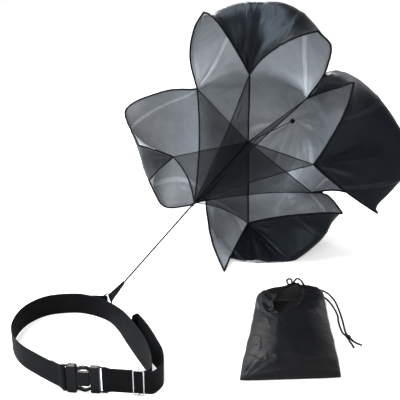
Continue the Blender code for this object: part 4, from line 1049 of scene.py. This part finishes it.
def evened(points, step):
    """The same line with its points at even distances."""
    gone = distances(points)
    count = round(gone[-1] / step)
    line, k = [], 0
    for n in range(count + 1):
        goal = gone[-1] * n / count
        while k < len(points) - 2 and gone[k + 1] < goal:
            k += 1
        share = (goal - gone[k]) / (gone[k + 1] - gone[k])
        line.append(points[k].lerp(points[k + 1], min(max(share, 0), 1)))
    return line


def band_mesh(name, line, spread, rows=WEBBING_ROWS):
    """Webbing along a line of middle points: spread(i) runs over its width at point i, edge to edge."""
    bm = bmesh.new()
    weave = bm.loops.layers.uv.new("weave")
    gone, rings = distances(line), []
    for i, point in enumerate(line):
        way = spread(i)
        out = face_of(line, spread, i)
        ring = []
        for sign in (1, -1):
            for k in range(rows + 1):
                share = k / rows
                edge = max(0, abs(share - 0.5) * 2 - 1 + SELVAGE_SHARE) / SELVAGE_SHARE
                high = WEBBING_THICKNESS / 2 * (1 - SELVAGE_THINNING * edge ** 2)
                where = point + way * (share - 0.5) + out * (sign * high)
                ring.append((bm.verts.new(where), (gone[i], share * way.length)))
        rings.append(ring[:rows + 1] + ring[:rows:-1])
    for ring, following in zip(rings, rings[1:]):
        for k in range(len(ring)):
            n = (k + 1) % len(ring)
            corners = (ring[k], ring[n], following[n], following[k])
            face = bm.faces.new([vert for vert, _ in corners])
            for loop, (_, spot) in zip(face.loops, corners):
                loop[weave].uv = spot
    bm.faces.new([vert for vert, _ in reversed(rings[0])])
    bm.faces.new([vert for vert, _ in rings[-1]])
    bmesh.ops.recalc_face_normals(bm, faces=bm.faces)
    return finished(bm, name)


def standing(path, width, rise):
    """The middle line of webbing that stands on its edge, and its spread from lower to upper edge."""
    low = [leaned(Vector((p.x, p.y, rise(p)))) for p in path]
    high = [leaned(Vector((p.x, p.y, rise(p) + width))) for p in path]
    return [(a + b) / 2 for a, b in zip(low, high)], lambda i: high[i] - low[i]


def face_of(line, spread, k):
    """The outward way of standing webbing at one of its points, to the right of its run."""
    run = line[min(k + 1, len(line) - 1)] - line[max(k - 1, 0)]
    return run.cross(spread(k)).normalized()


def row_over(line, spread, k, inset=ROW_INSET):
    """The ends of a row of stitches over the webbing at a point."""
    base = line[k] + face_of(line, spread, k) * THREAD_LIFT
    reach = spread(k) * (0.5 - inset / spread(k).length)
    return [base - reach, base + reach]


def box_on(line, spread, low, high):
    """The rows of a box of stitches on the webbing, between two shares of its line."""
    first, last = (round(share * (len(line) - 1)) for share in (low, high))
    rows = [row_over(line, spread, k, BOX_INSET) for k in range(first, last + 1)]
    return [rows[0], rows[-1], [row[0] for row in rows], [row[1] for row in rows]]


def make_belt():
    """The waist webbing, its adjusting strap and the loose tail outside it; their rows of stitches."""
    split = ADJUSTER_PLACE - ADJUSTER_LENGTH / 2
    corner = ADJUSTER_PLACE + ADJUSTER_LENGTH / 2
    around = spline([front(corner, -LAYER), *(waist(share) for share in WAIST_PATH), front(0)])
    around.reverse()
    path = dense(around[:6], EYE_RUN / 6) + around[6:] + [front(split + GAP, -LAYER)]
    path = evened(looped(path, BAR_RADIUS, FOLD_BACK, WAIST_LOOP * 6, SOCKET_SLACK), WAIST_STEP)
    line, spread = standing(path, WEBBING_WIDTH, lift)
    stand_in("waist_webbing", band_mesh("waist_webbing", line, spread), "belt", strap)
    end = round((FOLD_BACK + FOLD_ROW_START) / WAIST_STEP)
    rows = [row_over(line, spread, end + step) for step in FOLD_ROW_STEPS]

    path = dense([front(PLUG_BAR), front(PLUG_BAR + EYE_RUN)], EYE_RUN / 6) + [front(split)]
    reach = (split - PLUG_BAR) + GAP
    path = evened(looped(path, BAR_RADIUS, reach, reach, PLUG_SLACK), STRAP_STEP)
    mesh = band_mesh("adjusting_strap", *standing(path, WEBBING_WIDTH, lift))
    item = stand_in("adjusting_strap", mesh, None, strap)
    height = UP * (FRONT_LIFT + WEBBING_WIDTH / 2)
    front(BLEND_START) + height
    front(BLEND_END) + height
    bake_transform(item)

    tail = [front(split + GAP, LAYER / 2), front(ADJUSTER_PLACE, LAYER / 2)]
    tail += spline([front(corner, LAYER / 2), *(waist(share) for share in TAIL_PATH)])
    line, spread = standing(evened(tail, STRAP_STEP), WEBBING_WIDTH, lift)
    stand_in("webbing_tail", band_mesh("webbing_tail", line, spread), "belt", strap)
    return rows + [row_over(line, spread, len(line) - step) for step in TAIL_ROW_STEPS]


def make_keeper():
    """The webbing loop sewn to the belt's rear that holds the ring's bar; its rows of stitches."""
    path = dense(spline([waist(share) for share in (RING_PLACE, *KEEPER_PATH)]), STRAP_STEP)
    path = evened(looped(path, RING_WIRE, WAIST_LOOP, WAIST_LOOP, KEEPER_SLACK), KEEPER_STEP)
    line, spread = standing(path, KEEPER_WIDTH, lambda point: RING_HEIGHT - KEEPER_WIDTH / 2)
    stand_in("ring_keeper", band_mesh("ring_keeper", line, spread, 12), "belt", strap)
    return [row for shares in KEEPER_BOX_SHARES for row in box_on(line, spread, *shares)]


# Tow tab, in the tow frame: places are given across the tab, along the tow line and over its width

TAB_EYE = RING_WIRE + GAP
TAB_FAR = RING_RADIUS + TAB_EYE
TAB_TIP = RING_RADIUS + TAB_LENGTH
TAB_TIP_SHARE, TAB_TAPER = 0.42, TAB_LENGTH - 0.0105
TAB_CLOSED, TAB_OPENING = 0.0095, 0.006
TAB_STITCH = (0.0026, 0.0019, 0.0003)
TAB_BOX, TAB_BOX_HALF = (0.012, 0.030), (0.0070, 0.0055)
TAB_ROW = (0.034, 0.044)
TOW_CORD_IN_TAB, TOW_CORD_IN_KNOT = 0.006, 0.002


def make_tab():
    """Folded webbing through the ring, sewn flat and narrowed to the cord."""
    lean = math.sqrt(1 - (TAB_WIDTH / 2 / RING_RADIUS) ** 2)
    near = RING_RADIUS - TAB_EYE / lean - RING_RADIUS * (1 - lean)
    flat = WEBBING_THICKNESS / 2
    reach = TAB_EYE + flat
    side = [(flat, TAB_TIP), (flat, TAB_FAR + TAB_CLOSED), (flat * 1.5, TAB_FAR + TAB_OPENING)]
    arc = []
    for k in range(17):
        angle = math.pi * k / 16
        arc.append((reach * math.cos(angle), near + TAB_EYE - (reach + TAB_SLACK) * math.sin(angle)))
    points = side + arc + [(-x, y) for x, y in reversed(side)]
    line = evened([TOW @ Vector((x, y, 0)) for x, y in points], TAB_STEP)
    across = (TOW.to_3x3() @ UP).normalized()
    total, last = length_of(line), len(line) - 1

    def spread(i):
        taper = min(min(i, last - i) / last * total / TAB_TAPER, 1)
        return across * (TAB_WIDTH * (TAB_TIP_SHARE + (1 - TAB_TIP_SHARE) * taper))
    stand_in("tow_tab", band_mesh("tow_tab", line, spread, 10), "canopy", narrow_strap)
    (low, high), (wide, narrow) = TAB_BOX, TAB_BOX_HALF
    box = [(low, -wide), (low, wide), (high, narrow), (high, -narrow), (low, -wide), (high, narrow)]
    rows = []
    for face in (1, -1):
        for spots in (box, [(far, 0) for far in TAB_ROW]):
            rows.append([TOW @ Vector((face * (flat + THREAD_LIFT), TAB_FAR + y, z)) for y, z in spots])
    sew("tab_stitches", rows, "canopy", "tow_tab", *TAB_STITCH)


def make_tow_cord():
    """The taut cord from the tab to the whipping of the nets."""
    start, end = TAB_TIP - TOW_CORD_IN_TAB, NET_START - TIP_KNOT_LENGTH + TOW_CORD_IN_KNOT
    line = straight(TOW @ Vector((0, start, 0)), TOW @ Vector((0, end, 0)), 100)
    cord = stand_in("tow_cord", tube_mesh("tow_cord", line, TOW_RADIUS, 12), "canopy", tow_braid)
    length_of(line)


# Hard fittings keep the frame's own solids

def dress(name, surface):
    """Give a solid of the frame its material."""
    item = frame["nodes"][name]
    item.data.materials.clear()
    item.data.materials.append(surface.made)


def make_fittings():
    """The buckle, the adjuster and the tow ring."""
    for name in ("buckle_socket", "buckle_plug", "upper_prong", "lower_prong"):
        dress(name, plastic)
    dress("adjuster", nickel)
    dress("tow_ring", black_oxide)


# Bag, in its own frame: X to its right, Y from its closed end to its mouth, Z up

BAG_PLACE, BAG_ANGLE = (1.249, -0.410), math.radians(3.0)
BAG = Matrix.Translation(waist(BAG_PLACE)) @ Matrix.Rotation(BAG_ANGLE, 4, "Z")
BAG_BACK = BAG.inverted()
BAG_LENGTH, BAG_LEAN, BAG_HALF, BAG_TALL = 0.331, 0.173, 0.100, 0.030
BAG_THICKNESS, BAG_FLOOR, BAG_UNDER, BAG_EDGE_RISE = 0.0008, 0.0010, 0.0013, 0.0016
# At shares of the bag's length, the shares of its half width and of its height
BAG_ROW_SHARES = (
    (0.000, 1.00, 0.16), (0.035, 1.00, 0.42), (0.160, 0.99, 0.82), (0.350, 0.945, 1.00),
    (0.560, 0.89, 1.00), (0.740, 0.86, 0.95), (0.880, 0.84, 0.82), (1.000, 0.81, 0.60),
)
BAG_FOLD_SHARE, BAG_FOLD_DROP = 0.30, 0.55
# The mouth is a loop tilted towards the runner: its middle, and the ways to its right and far sides
MOUTH = Vector((0.438, 0.145, 0.0345))
MOUTH_RIGHT = Vector((0.0330, 0.0160, 0.0000))
MOUTH_FAR = Vector((0.0165, 0.0545, 0.0090))
MOUTH_RISE, MOUTH_RISE_UNDER, MOUTH_PUFF = 0.010, 0.012, 1.5
# How far the body reaches before its neck, and how much more or less to its right, top and underside
NECK_SHARE, NECK_RIGHT, NECK_TOP, NECK_UNDER = 0.940, 0.010, 0.310, 0.030
NECK_BEFORE, NECK_LEAN, NECK_RETURN = 0.04, 0.42, 0.16
BAG_COLUMNS, BAG_BODY, BAG_NECK = 168, 66, 30
BAG_WEAVE_ROUND = 0.40
PLEATS, PLEAT_DEPTH, PLEAT_NOISE, PLEAT_REACH = 11, 0.0012, 0.0014, 0.040
BEAD_PLACE, BEAD_REACH, BEAD_HEIGHT = 0.0045, 0.0028, 0.0020
LONG_WRINKLE, SLOW_WRINKLE, FINE_WRINKLE, CORNER_WRINKLE = 0.0018, 0.0034, 0.0005, 0.0024
CORNER_NEAR, CORNER_FAR = 0.05, 0.17
FADE_END, FADE_MOUTH = 0.03, 0.05


def bag_row(share):
    """Half width and height of the bag, as shares, at a share of its length."""
    for low, high in zip(BAG_ROW_SHARES, BAG_ROW_SHARES[1:]):
        if share <= high[0]:
            break
    t = eased(share, (low[0], high[0]))
    return low[1] + (high[1] - low[1]) * t, low[2] + (high[2] - low[2]) * t


def bag_body(angle, share):
    """The bag's body in its own frame: angle runs round it from its right edge over the top."""
    wide, tall = bag_row(share)
    c, s = math.cos(angle), math.sin(angle)
    x = math.copysign(abs(c) ** 0.72, c) * wide * BAG_HALF
    drop = BAG_FOLD_DROP * max(-x / BAG_HALF - BAG_FOLD_SHARE, 0)
    z = max(s, 0) ** 0.86 * tall * BAG_TALL * (1 - drop) + BAG_UNDER + BAG_EDGE_RISE * abs(c) ** 6
    return Vector((x + share * BAG_LENGTH * BAG_LEAN, share * BAG_LENGTH, z))


def bag_point(angle, t):
    """A point of the bag: t from its closed end to the loop of its mouth."""
    c, s = math.cos(angle), math.sin(angle)
    top, under = max(s, 0.0), max(-s, 0.0)
    reach = NECK_SHARE + NECK_RIGHT * c - NECK_TOP * top ** 1.3 + NECK_UNDER * under
    split = BAG_BODY / (BAG_BODY + BAG_NECK)
    if t <= split:
        return bag_body(angle, reach * t / split)
    n = (t - split) / (1 - split)
    start = bag_body(angle, reach)
    ahead = (start - bag_body(angle, reach - NECK_BEFORE)).normalized()
    goal = BAG_BACK @ (MOUTH + MOUTH_RIGHT * c - MOUTH_FAR * s + SHIFT)
    lean = (goal - start).length * NECK_LEAN
    a = start + ahead * lean + UP * (MOUTH_PUFF * max(goal.z - start.z, 0))
    b = goal - UP * (MOUTH_RISE + MOUTH_RISE_UNDER * under) + (start - goal) * NECK_RETURN
    return start * (1 - n) ** 3 + a * (3 * n * (1 - n) ** 2) + b * (3 * n * n * (1 - n)) + goal * n ** 3


def bag_wrinkle(point, top, gone, left):
    """How far the bag's upper side stands off its smooth form, some way from its end and its mouth."""
    fade = min(gone / FADE_END, 1.0) * min(left / FADE_MOUTH + 0.15, 1.0)
    long = 0.30 - abs(noise.noise(Vector((point.x * 21 + point.y * 4, point.y * 6.5, 2.0))))
    slow = noise.noise(Vector((point.x * 9, point.y * 7, 5.0)))
    fine = 0.26 - abs(noise.noise(Vector((point.x * 46 + point.y * 18, point.y * 19, 9.0))))
    away = point + Vector((BAG_HALF, 0, 0))
    pull = 0.34 - abs(noise.noise(away.normalized() * 3.2 + Vector((4, 1, 0)))) * 1.5
    pull *= hump(away.length, CORNER_NEAR, CORNER_FAR)
    high = long * LONG_WRINKLE + slow * SLOW_WRINKLE + fine * FINE_WRINKLE + pull * CORNER_WRINKLE
    return high * fade * top ** 0.5


def mouth_gather(angle, left):
    """How far the cloth stands off near the mouth: its pleats and the bead over the drawstring."""
    c, s = math.cos(angle), math.sin(angle)
    turn = angle * PLEATS + 2.2 * noise.noise(Vector((c * 1.5, s * 1.5, 4)))
    pleats = math.sin(turn) * PLEAT_DEPTH + noise.noise(Vector((c * 5.5, s * 5.5, 1))) * PLEAT_NOISE
    bead = BEAD_HEIGHT * math.exp(-((left - BEAD_PLACE) / BEAD_REACH) ** 2)
    return pleats * math.exp(-left / PLEAT_REACH) + bead


def make_bag():
    """The slack bag: a sewn shell that lies flat, its gathered mouth slumped open."""
    rows = BAG_BODY + BAG_NECK
    angles = [2 * math.pi * i / BAG_COLUMNS for i in range(BAG_COLUMNS)]
    bm = bmesh.new()
    rims = bm.verts.layers.float.new("rim")
    weave = bm.loops.layers.uv.new("weave")
    lines = [[bag_point(angle, j / rows) for j in range(rows + 1)] for angle in angles]
    grid = [[bm.verts.new(point) for point in line] for line in lines]
    for i in range(BAG_COLUMNS):
        for j in range(rows):
            face = bm.faces.new([grid[a % BAG_COLUMNS][b] for a, b in cell(i, j)])
            for loop, (a, b) in zip(face.loops, cell(i, j)):
                loop[weave].uv = (a / BAG_COLUMNS * BAG_WEAVE_ROUND, b / rows * BAG_LENGTH)
    bm.faces.new([column[0] for column in grid])
    bmesh.ops.recalc_face_normals(bm, faces=bm.faces)
    bm.normal_update()
    if grid[BAG_COLUMNS // 4][rows // 3].normal.z < 0:
        bmesh.ops.reverse_faces(bm, faces=bm.faces)
        bm.normal_update()
    moved = []
    for angle, line, column in zip(angles, lines, grid):
        top = max(math.sin(angle), 0.0)
        for gone, vert in zip(distances(line), column):
            left = length_of(line) - gone
            vert[rims] = left
            high = mouth_gather(angle, left)
            if top > 0:
                high += bag_wrinkle(vert.co, top, gone, left)
            moved.append((vert, vert.co + vert.normal * high))
    for vert, place in moved:
        vert.co = (place.x, place.y, max(place.z, BAG_FLOOR))
    bmesh.ops.transform(bm, matrix=BAG, verts=bm.verts)
    bag = stand_in("storage_bag", finished(bm, "storage_bag"), "belt", bag_cloth, lining)
    thicken(bag, BAG_THICKNESS, inner_slot=1, offset=-1)


KNOT_PLACE, KNOT_SIZE, KNOT_HEIGHT, KNOT_STEPS = Vector((0.5550, 0.0155, 0.0052)), 0.0015, 1.1, 96


def make_drawstring():
    """Two strands that leave the mouth and meet in a knot; their loops at the mouth and loose ends."""
    knot = []
    for k in range(KNOT_STEPS):
        a = 2 * math.pi * k / KNOT_STEPS
        wind = Vector((math.sin(a) + 2 * math.sin(2 * a), math.cos(a) - 2 * math.cos(2 * a),
                       -math.sin(3 * a) * KNOT_HEIGHT))
        knot.append(KNOT_PLACE + SHIFT + wind * KNOT_SIZE)
    mesh = tube_mesh("drawstring_knot", knot, STRING_RADIUS, closed=True)
    pieces = [stand_in("drawstring_knot", mesh, "belt", black_braid)]
    for name, route in STRING_LOOPS.items():
        line = [point + SHIFT for point in spline(route, 6)]
        mesh = tube_mesh(name, line, STRING_RADIUS)
        pieces.append(link(name, mesh, "belt", [black_braid]))
    for name, route in STRINGS.items():
        line = [point + SHIFT + STRING_RISE for point in spline(route, 6)]
        cord = stand_in(name, tube_mesh(name, line, STRING_RADIUS), "belt", black_braid)
        length_of(line)


# Floor, lamps and what lies behind

FLOOR_HALF, FLOOR_NEAR, FLOOR_FAR, FLOOR_GLOW = 9.0, 0.9, 2.0, 0.45
SKY_STRENGTH = 0.46
# Each lamp's place and aim in metres, its size, its power in watts and its colour
LAMPS = {
    "key": ((-1.3, 0.2, 2.4), (0.1, 0.2, 0.4), (1.6, 1.3), 72, (0.90, 0.95, 1.0)),
    "side": ((-2.1, 0.5, 1.35), (0.2, 0.2, 0.4), (1.3, 1.1), 60, (0.80, 0.90, 1.0)),
    "fill": ((1.9, -1.9, 2.3), (0.0, 0.1, 0.2), (1.6, 1.6), 8, (1, 1, 1)),
    "front": ((-0.6, -2.8, 1.8), (0.0, 0.2, 0.3), (2.2, 1.4), 50, (1, 1, 1)),
    "back": ((-0.60, 2.1, 1.5), (0.2, -0.3, 0.0), (0.9, 0.9), 40, (1, 1, 1)),
}


def make_floor():
    """A pale floor that the camera sees as white further out, and that keeps the shadows."""
    bm = bmesh.new()
    bmesh.ops.create_grid(bm, x_segments=1, y_segments=1, size=FLOOR_HALF)
    mesh = finished(bm, "floor")
    floor = bpy.data.objects.new("floor", mesh)
    bpy.context.scene.collection.objects.link(floor)
    pale = Surface("floor", roughness=0.85, specular_ior_level=0.1, base_color=(0.86, 0.86, 0.86, 1),
                   emission_strength=1.0)
    out = pale.node("ShaderNodeVectorMath", {0: pale.place()}, output="Value", operation="LENGTH")
    far = out.ramp(FLOOR_NEAR, FLOOR_FAR)
    seen = pale.node("ShaderNodeLightPath", output="Is Camera Ray")
    pale.set("Emission Color", (seen * (far * (1 - FLOOR_GLOW) + FLOOR_GLOW)).pick((0, 0, 0), (1, 1, 1)))
    mesh.materials.append(pale.made)


def make_lamps():
    """Large soft lamps round the object."""
    for name, (place, aim, size, power, colour) in LAMPS.items():
        light = bpy.data.lights.new(name, "AREA")
        light.shape = "RECTANGLE"
        light.size, light.size_y = size
        light.energy = power
        light.color = colour
        item = bpy.data.objects.new(name, light)
        bpy.context.scene.collection.objects.link(item)
        item.location = place
        item.rotation_euler = (Vector(aim) - Vector(place)).to_track_quat("-Z", "Y").to_euler()


def make_sky():
    """Soft light from all round, with white behind the object and in what it mirrors or lets through."""
    world = bpy.data.worlds.new("studio")
    world.use_nodes = True
    world.node_tree.nodes.clear()
    sky = Graph(world.node_tree)
    seen = higher(*(sky.node("ShaderNodeLightPath", output=f"Is {kind} Ray")
                    for kind in ("Camera", "Glossy", "Transmission")))
    soft, white = (sky.node("ShaderNodeBackground", {"Color": (1, 1, 1, 1), "Strength": strength})
                   for strength in (SKY_STRENGTH, 1.0))
    mixed = sky.node("ShaderNodeMixShader", {0: seen, 1: soft, 2: white})
    sky.node("ShaderNodeOutputWorld", {"Surface": mixed})
    bpy.context.scene.world = world
    bpy.context.scene.view_settings.view_transform = "Standard"


make_net_tape()
make_tip_knot()
make_apex()
make_tow_cord()
make_bag()
make_drawstring()
make_canopy()
make_nets()
sew("belt_stitches", make_belt() + make_keeper(), "belt", "waist_webbing")
make_tab()
make_fittings()
make_floor()
make_lamps()
make_sky()
